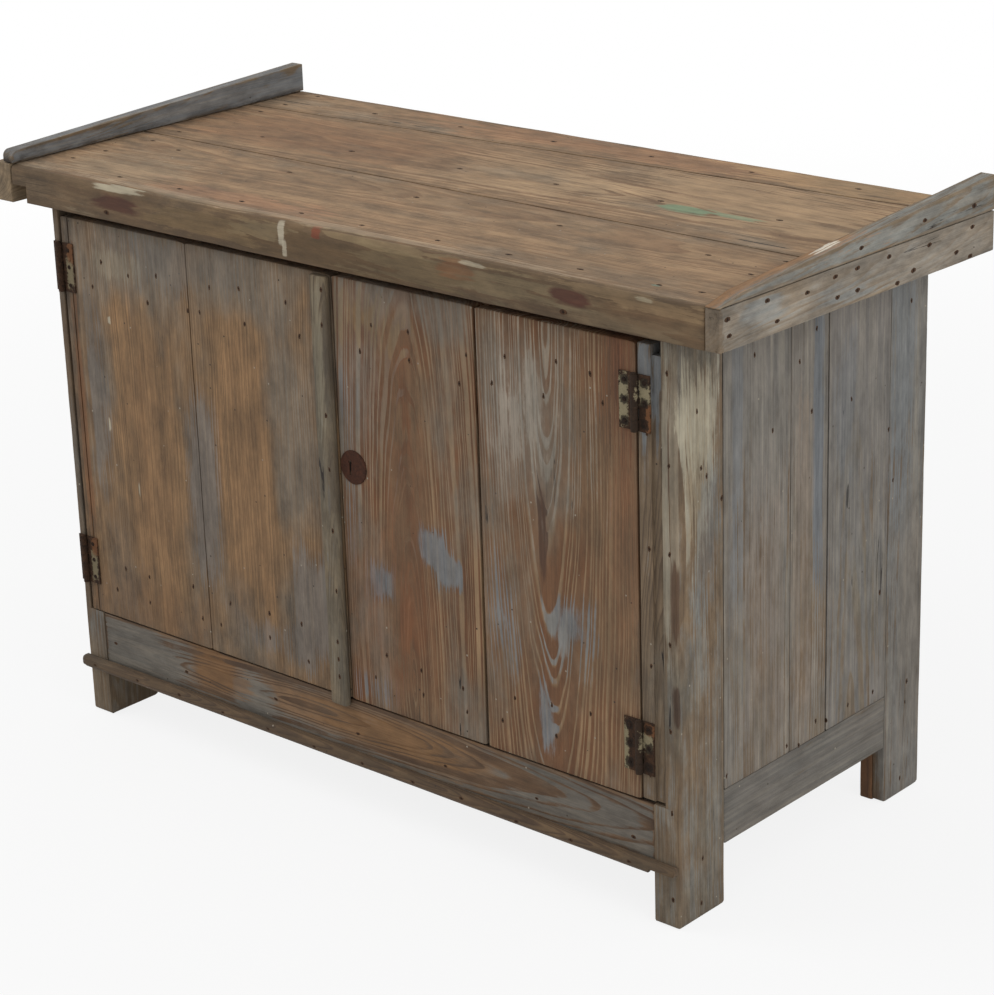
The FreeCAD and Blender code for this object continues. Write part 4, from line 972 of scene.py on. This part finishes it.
left_look = dict(bare="#836748", late="#5d452d", grey="#766a5b", paint="#675f57", grime=0.25, ring=4.2,
                 late_strength=0.7, weather=0.5, mottle=1.3, grain=0.9, soft=0.7, edge_wear=0.1)
board("left_door_outer_board", "xyz", grooved_board_section, cover=0.3, pith=(-260, 80), lean=0.03,
      wear=0.5, weather_at=(patch("xz", (-375, 430), (80, 290), -0.42),
                            patch("xz", (-400, 710), (190, 110), 0.4)),
      grime_at=(patch("x", (-520,), (40,), 0.4), patch("xz", (-450, 245), (40, 100), 0.5)),
      cover_at=(bare_back, patch("xz", (-476, 500), (40, 260), 0.6),
                patch("xz", (-400, 725), (170, 70), 0.3),
                patch("xz", (-390, 190), (90, 40), -0.3),
                patch("xz", (-280, 400), (42, 260), 0.65)),
      stains=((patch("xz", (-512, 470), (8, 230), 0.6), "#70492a"),
              (patch("xz", (-375, 410), (60, 220), 0.15), "#8e6540"),
              (patch("xz", (-395, 192), (130, 46), 0.4), "#6a4c30"),
              (patch("xz", (-300, 715), (110, 50), 0.55), "#625e58"),
              (patch("xz", (-425, 694), (66, 26), 0.4), "#857b68", 1.4),
              (patch("xz", (-452, 250), (30, 100), 0.4), "#5c5145"),
              (patch("xz", (-457, 458), (2.4, 11), 0.8), "#a39c89", 1.6),
              (patch("xz", (-405, 372), (2.2, 16), 0.8), "#a39c89", 1.6),
              (patch("xz", (-441, 612), (3, 6), 0.8), "#a39c89", 1.6)), **left_look)
board("left_door_inner_board", "xyz", cover=0.3, pith=(240, 90), lean=0.03, wear=0.5,
      weather_at=(patch("xz", (-185, 450), (66, 280), -0.42),
                  patch("xz", (-80, 520), (70, 200), 0.4),
                  patch("xz", (-160, 715), (150, 90), 0.35)),
      cover_at=(bare_back, patch("xz", (-262, 400), (42, 260), 0.65),
                patch("xz", (-66, 272), (84, 156), 0.72),
                patch("xz", (-165, 212), (110, 50), 0.45)),
      stains=((patch("xz", (-185, 430), (52, 220), 0.15), "#8e6540"),
              (patch("xz", (-235, 725), (90, 40), 0.4), "#5f5b55"),
              (patch("xz", (-34, 325), (20, 70), 0.5), "#5c574f")), **left_look)
board("cover_strip", "xyz", wear=5, bare="#7e6f58", late="#4c3f30", grey="#746d5e", paint="#6e7170",
      weather=0.5, cover=0.5, grime=0.4, ring=3, cover_at=(patch("y", (0,), (5,), -1),),
      stains=((patch("xz", (-24, 640), (9, 120), 0.45), "#7d7562"),
              (patch("xz", (-9, 655), (8, 70), 0.6), "#41362a"),
              (patch("xz", (-12, 480), (9, 60), 0.5), "#463a2d")))

# %% Right door
right_look = dict(bare="#846b4f", late="#613f26", grey="#7e7467", paint="#6a6e71", grime=0.15, grain=1,
                  weather=0.48, mottle=1, soft=0.42, held_off=-0.26, edge_wear=0.3)
board("right_door_inner_board", "xyz", cover=0.27, ring=5.6, pith=(-4, 36), lean=0.11, late_strength=1,
      weather_at=(patch("x", (115,), (60,), -0.4), patch("xz", (20, 600), (60, 200), 0.35),
                  patch("xz", (110, 735), (150, 60), 0.4)),
      cover_at=(bare_back, patch("xz", (150, 416), (54, 48), 0.8),
                patch("xz", (180, 384), (50, 44), 0.8),
                patch("xz", (64, 345), (46, 54), 0.8),
                patch("xz", (14, 480), (40, 330), 0.4),
                patch("xz", (14, 585), (30, 60), 0.25),
                patch("xz", (110, 745), (150, 40), 0.35),
                patch("xz", (40, 190), (90, 50), 0.5)),
      stains=((patch("xz", (112, 470), (34, 280), 0.4), "#5a341c"),
              (patch("xz", (98, 300), (30, 130), 0.55), "#6b4124"),
              (patch("xz", (114, 590), (24, 110), 0.6), "#6a4226"),
              (patch("xz", (44, 620), (70, 130), 0.4), "#74685c"),
              (patch("xz", (190, 640), (46, 130), 0.35), "#7d6b57"),
              (patch("xz", (110, 745), (150, 60), 0.45), "#6d655b"),
              (patch("xz", (48, 700), (60, 42), 0.4), "#80673f"),
              (patch("xz", (40, 300), (60, 130), 0.25), "#7a4c33"),
              # A near-black patch on the keyhole, right through the board: painted shade in the hole and at
              # the plate's edge.
              (patch("xz", (14, 494), (13, 19), 1), "#0c0907")), **right_look)
board("right_door_outer_board", "xyz", cover=0.27, ring=5.2, pith=(-12, 38), lean=-0.1,
      late_strength=0.85,
      weather_at=(patch("xz", (440, 480), (70, 330), -0.4),
                  patch("xz", (298, 621), (80, 130), 0.4)),
      cover_at=(bare_back, patch("xz", (377, 365), (76, 76), 0.75),
                patch("xz", (338, 228), (36, 130), 0.7),
                patch("xz", (270, 350), (60, 220), 0.45)),
      stains=((patch("xz", (316, 634), (110, 140), 0.55), "#8e8679"),
              # A paler spot inside that milky haze: a painted soft highlight.
              (patch("xz", (304, 627), (52, 64), 0.35), "#9a9286"),
              (patch("xz", (337, 474), (11, 110), 0.9), "#472f20", 1.2),
              (patch("xz", (458, 690), (30, 110), 0.75), "#462a19"),
              (patch("xz", (275, 540), (46, 120), 0.4), "#766a5d"),
              (patch("xz", (368, 343), (44, 50), 0.75), "#75736e"),
              (patch("xz", (466, 600), (20, 200), 0.45), "#70452a")), **right_look)

# %% Keyhole through the right door
KEYHOLE_X, KEYHOLE_Z, KEYHOLE_RADIUS, KEYHOLE_SLOT, KEYHOLE_FOOT = 14, 501, 2.8, 3.6, 484
KEYHOLE_EDGES = 16


def keyhole_outline():
    """A round head with a straight slot below it, as x and z in millimetres."""
    half = KEYHOLE_SLOT / 2
    start = math.asin(half / KEYHOLE_RADIUS)
    outline = [(KEYHOLE_X - half, KEYHOLE_FOOT), (KEYHOLE_X + half, KEYHOLE_FOOT)]
    for step in range(KEYHOLE_EDGES + 1):
        angle = start + (2 * math.pi - 2 * start) * step / KEYHOLE_EDGES
        across, up = KEYHOLE_RADIUS * math.sin(angle), -KEYHOLE_RADIUS * math.cos(angle)
        outline.append((KEYHOLE_X + across, KEYHOLE_Z + up))
    return outline


def cut_keyhole(piece, front, back):
    """Cut the keyhole right through a piece with a boolean, and leave it a plain mesh again."""
    outline = keyhole_outline()
    count = len(outline)
    points = [at(x, y, z) for y in (front, back) for x, z in outline]
    sides = [(i, (i + 1) % count, count + (i + 1) % count, count + i) for i in range(count)]
    cutter = new_mesh("keyhole_cutter", points, sides + [tuple(range(count)), tuple(range(count, 2 * count))])
    cut = piece.modifiers.new("keyhole", "BOOLEAN")
    cut.object = cutter
    cut.operation = "DIFFERENCE"
    cut.solver = "EXACT"
    before = len(piece.data.vertices)
    made = plain_mesh(piece)
    piece.modifiers.remove(cut)
    piece.data = made
    bpy.data.objects.remove(cutter)
    print("keyhole adds", len(made.vertices) - before, "points")


cut_keyhole(boards["right_door_inner_board"], -5, DOOR_BACK + 5)

# %% [markdown]
# Boards that show only from inside or below keep their CAD shape and get a plainer, unpainted pine.

# %% Inner wood
inner_grain = {"floor_board_front": "yzx", "floor_board_back": "yzx", "shelf_board": "yzx",
               "back_top_rail": "zyx", "head_rail": "zyx", "side_top_rail_left": "zxy",
               "side_top_rail_right": "zxy", "left_door_top_ledge": "zyx", "left_door_bottom_ledge": "zyx",
               "right_door_top_ledge": "zyx", "right_door_bottom_ledge": "zyx"}


def refinish(node, finish):
    """Give a CAD node that keeps its shape a finish."""
    materials = frame["nodes"][node].data.materials
    materials.clear()
    materials.append(finish)


for number, (node, axes) in enumerate(inner_grain.items()):
    low, high = span(node)
    finish = pine(node + "_bare_pine", axes, tuple((low + high) / 2), 100 + number, bare="#86694a",
                  late="#5c4029", grey="#7a6d5b", weather=0.3, cover=0, grime=0.5, edge_wear=0)
    refinish(node, finish)
print("inner boards:", len(inner_grain))

# %% [markdown]
# Rusty iron: hinges, lock and bolts. Rust is matt and mottled from orange-brown to nearly black, and cream
# paint is left on parts of the hinges. Under it is wrought iron, but rust isn't a metal to the eye,
# so metallic stays at zero.

# %% Iron
NOISE_SCALES = {"fine": 520, "broad": 150}
RUST_LIFT = 0.2
BROAD_SHARE = 0.6
RUST_RANGE, TONE_RANGE = (0.4, 0.62), (0.3, 0.7, 0.8, 1.15)


def rusty_iron(name, seed, rust="#493222", dark="#1c140e", flakes_and_shadow=()):
    """Rusted wrought iron, with patches laid over it: paint or brighter rust, as a board has them, and
    painted shade.
    """
    material = bpy.data.materials.new(name)
    tree = empty_tree(material)
    place = add(tree, "TexCoord").outputs["Object"]
    fine, broad = (add(tree, "TexNoise", {"Vector": place, "W": seed, "Scale": scale, "Detail": 6,
                                          "Roughness": 0.7}, noise_dimensions="4D")
                   for scale in NOISE_SCALES.values())
    blend = add(tree, "Mix", BROAD_SHARE, fine, broad)
    mottle = add(tree, "MapRange", blend, *RUST_RANGE)
    colour = add(tree, "Mix", mottle, linear(dark), linear(rust), data_type="RGBA")
    local = add(tree, "Mapping", {"Vector": place, "Location": -(at(0, 0, 0) / MM), "Scale": (1 / MM,) * 3})
    raised = add(tree, "Math", broad, RUST_LIFT, operation="ADD")
    uneven = add(tree, "MapRange", fine, *TONE_RANGE)
    for laid_patch in flakes_and_shadow:
        colour = lay_colour_patch(tree, colour, raised, uneven, local, (0, 0, 0), *laid_patch)
    bump = add(tree, "Bump", {"Height": fine, "Strength": 0.6, "Distance": MM * 0.5})
    shader = add(tree, "BsdfPrincipled", {"Base Color": colour, "Metallic": 0, "Roughness": 0.85,
                                          "Specular IOR Level": 0.2, "Normal": bump})
    add(tree, "OutputMaterial", {"Surface": shader})
    return material


# %% Finishes for the ironwork
# The right barrels' colour is their dark rust, laid wider than the barrel to paint its shade and shadow too.
CREAM, ORANGE_RUST, BLACK_RUST, BARREL_RUST_AND_SHADOW = "#8a8066", "#6e4a30", "#1f1711", "#2f251d"
HINGE_AXIS = {"left": -529.5, "right": 487}
HINGE_LEVELS = {"left": (675, 241), "right": (675, 235)}
SCREW_LEVELS = (-25, 1, 25)
DOOR_SCREWS, FRAME_SCREWS = -17, 13


def hinge_flakes_and_shadow():
    """Cream paint on the right hinges' leaves, a little on the left ones, rust round every screw, and dark
    rust with painted shadow down the right barrels.
    """
    left, right = HINGE_AXIS["left"], HINGE_AXIS["right"]
    # Dark rust down the right barrels, 14 mm wide: it also paints the barrel's shade and the shadow beside
    # it.
    flakes_and_shadow = [(patch("x", (right,), (7,), 0.7), BARREL_RUST_AND_SHADOW),
              (patch("xz", (right - 19, 675), (8, 33), 0.92), CREAM),
              (patch("xz", (right + 13, 688), (9, 15), 0.92), CREAM),
              (patch("xz", (right + 18, 658), (4, 18), 0.9), ORANGE_RUST),
              (patch("xz", (right - 24, 230), (6, 34), 0.85), CREAM),
              (patch("xz", (right + 11, 244), (8, 13), 0.88), CREAM),
              (patch("xz", (right + 14, 260), (8, 8), 0.8), ORANGE_RUST)]
    for level in HINGE_LEVELS["left"]:
        flakes_and_shadow.append((patch("xz", (left + 17, level - 8), (7, 22), 0.6), CREAM))
        flakes_and_shadow.append((patch("xz", (left + 20, level + 22), (6, 16), 0.7), ORANGE_RUST))
    for level in HINGE_LEVELS["right"]:
        for x in (right + DOOR_SCREWS, right + FRAME_SCREWS):
            flakes_and_shadow += [(patch("xz", (x, level + screw), (6, 6.5), 0.85), BLACK_RUST)
                       for screw in SCREW_LEVELS]
    return flakes_and_shadow


iron_finishes = {"hinge": rusty_iron("hinge_rusty_iron", 3, flakes_and_shadow=hinge_flakes_and_shadow()),
                 "escutcheon": rusty_iron("keyhole_plate_rust", 8, rust="#4e2e20", dark="#2b1a12"),
                 "other": rusty_iron("lock_dull_iron", 5, rust="#3b2c22", dark="#1d1916")}
for node, slot in slot_of_node.items():
    if slot == "rusty_iron":
        kind = "hinge" if "hinge" in node else node if node in iron_finishes else "other"
        refinish(node, iron_finishes[kind])
print("iron finishes:", list(iron_finishes))

# %% [markdown]
# Old cut nails. Over two hundred of them hold the boards, each a rough black head in an irregular stain
# where its rust has run into the wood. A Geometry Nodes tree sets both on points, because only their places
# differ, and pushes their outlines about with noise so that no two are alike. The points lie on the boards'
# real surface, found by a ray.

# %% The nail tree
BALL_DETAIL, ROUGHNESS_SCALE = 3, 260
HEAD_PUSH, STAIN_PUSH, STAIN_HEIGHT = 0.4, 1, 0.08


def nail_tree():
    """Heads and stains on points that carry the way they face, their board's grain and the head's radius."""
    tree = new_group("old_cut_nails", "GeometryNodeTree", (
        ("Geometry", ("Places",)), ("Float", ("Head Height", "Stain Across", "Stain Along", "Ragged")),
        ("Material", ("Head Finish", "Stain Finish"))), (("Geometry", ("Nails",)),))
    given = add(tree, "NodeGroupInput").outputs
    points = add(tree, "MeshToPoints", given["Places"])
    facing = add(tree, "InputNamedAttribute", "facing", data_type="FLOAT_VECTOR")
    radius = add(tree, "InputNamedAttribute", "head_radius", data_type="FLOAT")
    grain = add(tree, "InputNamedAttribute", "grain", data_type="FLOAT_VECTOR")
    outwards = add(tree, "AlignRotationToVector", {"Vector": facing}, axis="Z")
    turn = add(tree, "AlignRotationToVector", {"Rotation": outwards, "Vector": grain}, axis="Y",
               pivot_axis="Z")
    place = add(tree, "InputPosition")
    rough = add(tree, "TexNoise", {"Vector": place, "Scale": ROUGHNESS_SCALE, "Detail": 2}).outputs["Color"]
    centred = add(tree, "VectorMath", rough, (0.5, 0.5, 0.5), operation="SUBTRACT")
    upright = add(tree, "VectorMath", centred, facing, operation="PROJECT")
    sideways = add(tree, "VectorMath", centred, upright, operation="SUBTRACT")
    parts = []
    for across, along, height, push, finish in (
            (1, 1, given["Head Height"], HEAD_PUSH, given["Head Finish"]),
            (given["Stain Across"], given["Stain Along"], STAIN_HEIGHT, STAIN_PUSH, given["Stain Finish"])):
        ball = add(tree, "MeshIcoSphere", {"Radius": 1, "Subdivisions": BALL_DETAIL})
        flat = add(tree, "CombineXYZ", across, along, height)
        disc = add(tree, "Transform", {"Geometry": ball, "Scale": flat})
        set_out = add(tree, "InstanceOnPoints", {"Points": points, "Instance": disc, "Rotation": turn,
                                                 "Scale": radius})
        real = add(tree, "RealizeInstances", set_out)
        amount = add(tree, "Math", given["Ragged"], push, operation="MULTIPLY")
        offset = add(tree, "VectorMath", sideways, amount, operation="SCALE")
        ragged = add(tree, "SetPosition", {"Geometry": real, "Offset": offset})
        smooth = add(tree, "SetShadeSmooth", {0: ragged, "Shade Smooth": True})
        parts.append(add(tree, "SetMaterial", {"Geometry": smooth, "Material": finish}))
    both = add(tree, "JoinGeometry")
    for part in reversed(parts):
        tree.links.new(part.outputs[0], both.inputs[0])
    add(tree, "NodeGroupOutput", both)
    return tree


def by_nodes(name, body, places, directions, radii, tree, sizes):
    """A tree's plain mesh on points of a body; directions and sizes are attributes and inputs by name."""
    mesh = bpy.data.meshes.new(name + "_places")
    mesh.from_pydata(places, [], [])
    for attribute, vectors in directions.items():
        mesh.attributes.new(attribute, "FLOAT_VECTOR", "POINT").data.foreach_set(
            "vector", [value for vector in vectors for value in vector])
    mesh.attributes.new("head_radius", "FLOAT", "POINT").data.foreach_set("value", radii)
    seedling = new_object(name + "_places", mesh)
    modifier = seedling.modifiers.new(tree.name, "NODES")
    modifier.node_group = tree
    for item in tree.interface.items_tree:
        if item.item_type == "SOCKET" and item.in_out == "INPUT" and item.name in sizes:
            modifier[item.identifier] = sizes[item.name]
    piece = new_object(name, plain_mesh(seedling))
    piece.data.name = name
    bpy.data.objects.remove(seedling)
    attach(piece, body)
    print(name, "set on", len(places), "points")


# %% Where the nails are
nail_places = {}
RAY_START = 2000
SMALL_HEAD, HEAD, BIG_HEAD = 1.3, 1.8, 2.1
SMALLEST, HEAD_RANGE, HEAD_CHANGE = 0.8, 0.4, 9
SWAY_STEP, SLIP_STEP = 7.7, 5.3


def drive_nails(node, facing, places, head=HEAD):
    """Note nails on a board: each place in carcase millimetres is moved onto the board's real surface."""
    mesh = boards[node].data
    tree = BVHTree.FromPolygons([vertex.co for vertex in mesh.vertices],
                                [face.vertices[:] for face in mesh.polygons])
    way = Vector(facing)
    low, high = span(node)
    longest = max(range(3), key=lambda axis: high[axis] - low[axis])
    grain = Vector([float(axis == longest) for axis in range(3)])
    for place in places:
        hit, normal, _, _ = tree.ray_cast(at(*place) + way * RAY_START * MM, -way)
        if hit:
            size = head * (SMALLEST + HEAD_RANGE * wavering(place[0] + place[2], place[1], HEAD_CHANGE))
            nail_places.setdefault(body_of_node[node], []).append((hit, normal, grain, size * MM))


def row(start, end, count, jitter=5):
    """Places from start to end with a hand's unevenness."""
    start, end = Vector(start), Vector(end)
    along = (end - start).normalized()
    wide = Vector((0, 0, 1)) if abs(along.z) < 0.5 else Vector((1, 0, 0)) if abs(along.x) < 0.5 else along
    spots = []
    for i in range(count):
        sway = noise.noise(Vector((start.x + i * SWAY_STEP, start.y, start.z))) * jitter
        slip = noise.noise(Vector((start.z + i * SLIP_STEP, start.x, start.y))) * jitter * 2
        spots.append(start.lerp(end, i / max(1, count - 1)) + wide * sway + along * slip)
    return spots


# %% Nails in the carcase
RIGHT, LEFT, FRONT, BACK, UP = (1, 0, 0), (-1, 0, 0), (0, -1, 0), (0, 1, 0), (0, 0, 1)
LOWEST_LEFT_NAIL = 768
batten_nails = ((-2, 798), (1.5, 778), (73, 802), (92, 773), (151, 793), (207, 799), (212, 773),
                (252, 799), (253, 772), (319, 798), (337, 761), (372, 769), (406, 793), (467, 770),
                (499, 758), (502, 795))
side_nails = {"side_board_%s_front": ((97, 174), (223, 168), (154, 703), (191, 598)),
              "side_board_%s_middle": ((249, 159), (286, 179), (246, 671), (281, 704), (272, 601)),
              "side_board_%s_back": ((309, 172), (358, 176), (415, 174), (357, 594), (441, 530), (427, 311)),
              "front_post_%s": ((45, 20), (48, 81), (42, 663), (49, 591), (60, 578), (89, 542), (66, 742)),
              "back_post_%s": ((483, 23), (492, 132), (495, 161), (453, 458), (488, 690), (470, 735))}


def at_sides(pairs):
    """Places given by y and z, for nails driven in from a side."""
    return [(0, y, z) for y, z in pairs]


drive_nails("right_end_batten", RIGHT, at_sides(batten_nails))
drive_nails("left_end_batten", LEFT, at_sides((y, max(z, LOWEST_LEFT_NAIL)) for y, z in batten_nails[::2]))
drive_nails("right_gallery_wedge", RIGHT, at_sides(((505, 821), (260, 822), (395, 826))))
for side, facing in (("left", LEFT), ("right", RIGHT)):
    for node, pairs in side_nails.items():
        drive_nails(node % side, facing, at_sides(pairs), SMALL_HEAD)
drive_nails("base_moulding", FRONT, row((-520, 0, 79), (470, 0, 79), 12), SMALL_HEAD)
drive_nails("front_bottom_rail", FRONT, row((-485, 0, 118), (480, 0, 110), 7, 14), SMALL_HEAD)
drive_nails("front_post_right", FRONT, row((533, 0, 40), (531, 0, 720), 7), SMALL_HEAD)
drive_nails("hinge_strip_right", FRONT, row((500, 0, 200), (502, 0, 640), 4), SMALL_HEAD)

# %% Nails in the worktop and the back
drive_nails("worktop_front_plank", FRONT, ((392, 0, 771), (-409, 0, 772)), BIG_HEAD)
top_rows = {"worktop_front_plank": (((-560, 60, 0), (-545, 190, 0), 3), ((560, 30, 0), (563, 190, 0), 3),
                                    ((-420, 22, 0), (500, 26, 0), 9), ((-470, 175, 0), (470, 160, 0), 5)),
            "worktop_middle_plank": (((-555, 255, 0), (-552, 415, 0), 2), ((563, 260, 0), (560, 440, 0), 3),
                                     ((-430, 300, 0), (450, 340, 0), 6)),
            "worktop_back_plank": (((-556, 470, 0), (-556, 530, 0), 2), ((566, 505, 0), (566, 535, 0), 2),
                                   ((-400, 500, 0), (440, 525, 0), 6))}
for node, rows in top_rows.items():
    for start, end, count in rows:
        drive_nails(node, UP, row(start, end, count, 14))
for number in (1, 2, 3):
    low, high = span("back_board_%d" % number)
    for z in (130, 455, 735):
        spots = row((low.x + 40, 0, z), (high.x - 40, 0, z), 3)
        drive_nails("back_board_%d" % number, BACK, spots, SMALL_HEAD)

# %% Nails in the doors
for node, low_x, high_x in (("left_door_outer_board", -470, -300), ("left_door_inner_board", -255, -70),
                            ("right_door_inner_board", 40, 215), ("right_door_outer_board", 262, 440)):
    for z, inset in ((206, 0), (243, 22), (655, 0), (693, 22)):
        drive_nails(node, FRONT, row((low_x + inset, 0, z), (high_x - inset, 0, z), 3, 24), SMALL_HEAD)
strip_nails = (729, 682, 561, 487, 402, 318, 245, 220, 195)
drive_nails("cover_strip", FRONT, [(-18 + (z % 5), 0, z) for z in strip_nails], SMALL_HEAD)
nail_iron = rusty_iron("nail_head_rust", 13, rust="#2e1d12", dark="#130e0a")
nail_rust = rusty_iron("nail_stain_rust", 15, rust="#533a26", dark="#33241a")
nails = nail_tree()
for body, spots in nail_places.items():
    places, facings, grains, radii = zip(*spots)
    by_nodes(body + "_nails", body, places, {"facing": facings, "grain": grains}, radii, nails,
             {"Head Height": 0.28, "Stain Across": 1.5, "Stain Along": 2.8, "Ragged": 3.4 * MM,
              "Head Finish": nail_iron, "Stain Finish": nail_rust})

# %% [markdown]
# Slotted countersunk screws hold the hinges. Each head is a turned disc with a saw-cut slot, sunk into
# its leaf. The tree cuts the slot once with a boolean, then sets the head on all its places, each turned
# its own way.

# %% The screw tree
HEAD_EDGES, HEAD_TAPER = 20, 0.86
SLOT_LENGTH, HALF_TURN = 3, 3.14


def screw_tree():
    """A slotted head on points that carry the way they face and their head's radius in metres."""
    tree = new_group("slotted_screws", "GeometryNodeTree", (
        ("Geometry", ("Places",)), ("Float", ("Head Height", "Slot Width")), ("Int", ("Seed",)),
        ("Material", ("Finish",))), (("Geometry", ("Screws",)),))
    given = add(tree, "NodeGroupInput").outputs
    points = add(tree, "MeshToPoints", given["Places"])
    facing = add(tree, "InputNamedAttribute", "facing", data_type="FLOAT_VECTOR")
    radius = add(tree, "InputNamedAttribute", "head_radius", data_type="FLOAT")
    disc = add(tree, "MeshCone", {"Vertices": HEAD_EDGES, "Radius Top": HEAD_TAPER, "Radius Bottom": 1,
                                  "Depth": given["Head Height"]})
    slot_size = add(tree, "CombineXYZ", SLOT_LENGTH, given["Slot Width"], given["Head Height"])
    slot = add(tree, "MeshCube", slot_size)
    lift = add(tree, "CombineXYZ", 0, 0, given["Head Height"])
    raised = add(tree, "Transform", {"Geometry": slot, "Translation": lift})
    head = add(tree, "MeshBoolean", {"Mesh 1": disc, "Mesh 2": raised}, operation="DIFFERENCE")
    turn = add(tree, "AlignRotationToVector", {"Vector": facing}, axis="Z")
    spin = add(tree, "RandomValue", {"Min": 0, "Max": HALF_TURN, "Seed": given["Seed"]}, data_type="FLOAT")
    spun = add(tree, "EulerToRotation", add(tree, "CombineXYZ", 0, 0, spin))
    both = add(tree, "RotateRotation", {"Rotation": turn, "Rotate By": spun}, rotation_space="LOCAL")
    set_out = add(tree, "InstanceOnPoints", {"Points": points, "Instance": head, "Rotation": both,
                                             "Scale": radius})
    real = add(tree, "RealizeInstances", set_out)
    finished = add(tree, "SetMaterial", {"Geometry": real, "Material": given["Finish"]})
    add(tree, "NodeGroupOutput", finished)
    return tree


# %% Screws in the hinge leaves
LEAF_FACE_Y = -2
SCREW_RADIUS = 3
leaf_screws = {"right_door": ("right", DOOR_SCREWS), "left_door": ("left", 16),
               "carcase": ("right", FRAME_SCREWS)}
screws = screw_tree()
screw_iron = rusty_iron("screw_rust", 21, rust="#35241a", dark="#15100c")
for body, (side, offset) in leaf_screws.items():
    places = [at(HINGE_AXIS[side] + offset, LEAF_FACE_Y, level + screw)
              for level in HINGE_LEVELS[side] for screw in SCREW_LEVELS]
    by_nodes(body + "_hinge_screws", body, places, {"facing": [FRONT] * len(places)},
             [SCREW_RADIUS * MM] * len(places), screws,
             {"Head Height": 0.3, "Slot Width": 0.26, "Seed": 4, "Finish": screw_iron})

# %% [markdown]
# The studio: a pale floor that keeps the cabinet's soft shadow and turns to plain white away from it, an
# even white sky, and two large soft lamps, from the front left and from the right.

# %% Floor
FLOOR_REACH, FLOOR_DROP = 60, 0.0005
FLOOR_GLOW, FLOOR_GREY = 0.85, "#dcdcdc"
SHADOW_REACH, WHITE_FROM = 1.2, 4
WHITE = (1, 1, 1, 1)


def seen_or_glossy(tree):
    """1 for what the camera sees itself or in a gloss, 0 for light on its way to the cabinet."""
    rays = add(tree, "LightPath").outputs
    return add(tree, "Math", rays["Is Camera Ray"], rays["Is Glossy Ray"], operation="MAXIMUM")


floor_corners = [Vector((x * FLOOR_REACH, y * FLOOR_REACH, -FLOOR_DROP))
                 for x, y in ((-1, -1), (1, -1), (1, 1), (-1, 1))]
floor = new_mesh("studio_floor", floor_corners, [(0, 1, 2, 3)])
floor_paint = bpy.data.materials.new("pale_studio_floor")
tree = empty_tree(floor_paint)
from_middle = add(tree, "VectorMath", add(tree, "TexCoord").outputs["Object"], operation="LENGTH")
own_glow = add(tree, "MapRange", from_middle, SHADOW_REACH, WHITE_FROM, FLOOR_GLOW, 1, **SMOOTH)
glow_share = add(tree, "Math", seen_or_glossy(tree), own_glow, operation="MULTIPLY")
matt_floor = add(tree, "BsdfDiffuse", {"Color": linear(FLOOR_GREY)})
glow = add(tree, "Emission", {"Color": WHITE, "Strength": 1})
mixed = add(tree, "MixShader", glow_share, matt_floor, glow)
add(tree, "OutputMaterial", {"Surface": mixed})
floor.data.materials.append(floor_paint)
floor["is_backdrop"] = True

# %% Sky and lamps
SKY_LEVEL = 0.68
LAMP_SIZE, LAMPS_AIM = 2.2, Vector((0, 0, 0.5))
world = bpy.data.worlds.new("even_sky")
bpy.context.scene.world = world
tree = empty_tree(world)
level = add(tree, "MapRange", seen_or_glossy(tree), 0, 1, SKY_LEVEL, 1)
sky = add(tree, "Background", {"Color": WHITE, "Strength": level})
add(tree, "OutputWorld", {"Surface": sky})
for name, place, energy in (("soft_window_left", (-2.2, -1.8, 3), 48),
                            ("soft_window_right", (3.4, -0.6, 1.9), 36)):
    lamp_data = bpy.data.lights.new(name, "AREA")
    lamp_data.size = LAMP_SIZE
    lamp_data.energy = energy
    lamp = new_object(name, lamp_data)
    lamp.location = place
    lamp.rotation_euler = (LAMPS_AIM - lamp.location).to_track_quat("-Z", "Y").to_euler()

# %% [markdown]
# The camera was fitted to about seventy points of the photograph: it stands front right of the cabinet, looks
# down on it and is turned slightly clockwise.

# %% Camera
CAMERA_PLACE = (2444.34, -2427.95, 1707.73)
SENSOR_WIDTH, LENS, FURTHEST_SEEN = 36, 102.38, 50
YAW, PITCH, ROLL = (math.radians(angle) for angle in (-41.917, 20.193, 1.857))
forward = Vector((math.sin(YAW) * math.cos(PITCH), math.cos(YAW) * math.cos(PITCH), -math.sin(PITCH)))
level_right = Vector((math.cos(YAW), -math.sin(YAW), 0))
level_down = forward.cross(level_right)
right = level_right * math.cos(ROLL) + level_down * math.sin(ROLL)
down = level_down * math.cos(ROLL) - level_right * math.sin(ROLL)
camera_data = bpy.data.cameras.new("photo_view")
camera_data.sensor_fit = "HORIZONTAL"
camera_data.sensor_width = SENSOR_WIDTH
camera_data.lens = LENS
camera_data.clip_end = FURTHEST_SEEN
camera = new_object("photo_view", camera_data)
turn = Matrix((right, -down, -forward)).transposed().to_4x4()
camera.matrix_world = Matrix.Translation(at(*CAMERA_PLACE)) @ turn
bpy.context.scene.camera = camera
bpy.context.scene.view_settings.view_transform = "Standard"

# %% Print the CAD and visual sizes
visual_box = [list(corner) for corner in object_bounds()]
for name, box in (("cad", cad_box), ("visual", visual_box)):
    print(name, "box:", [[round(c, 4) for c in corner] for corner in box])
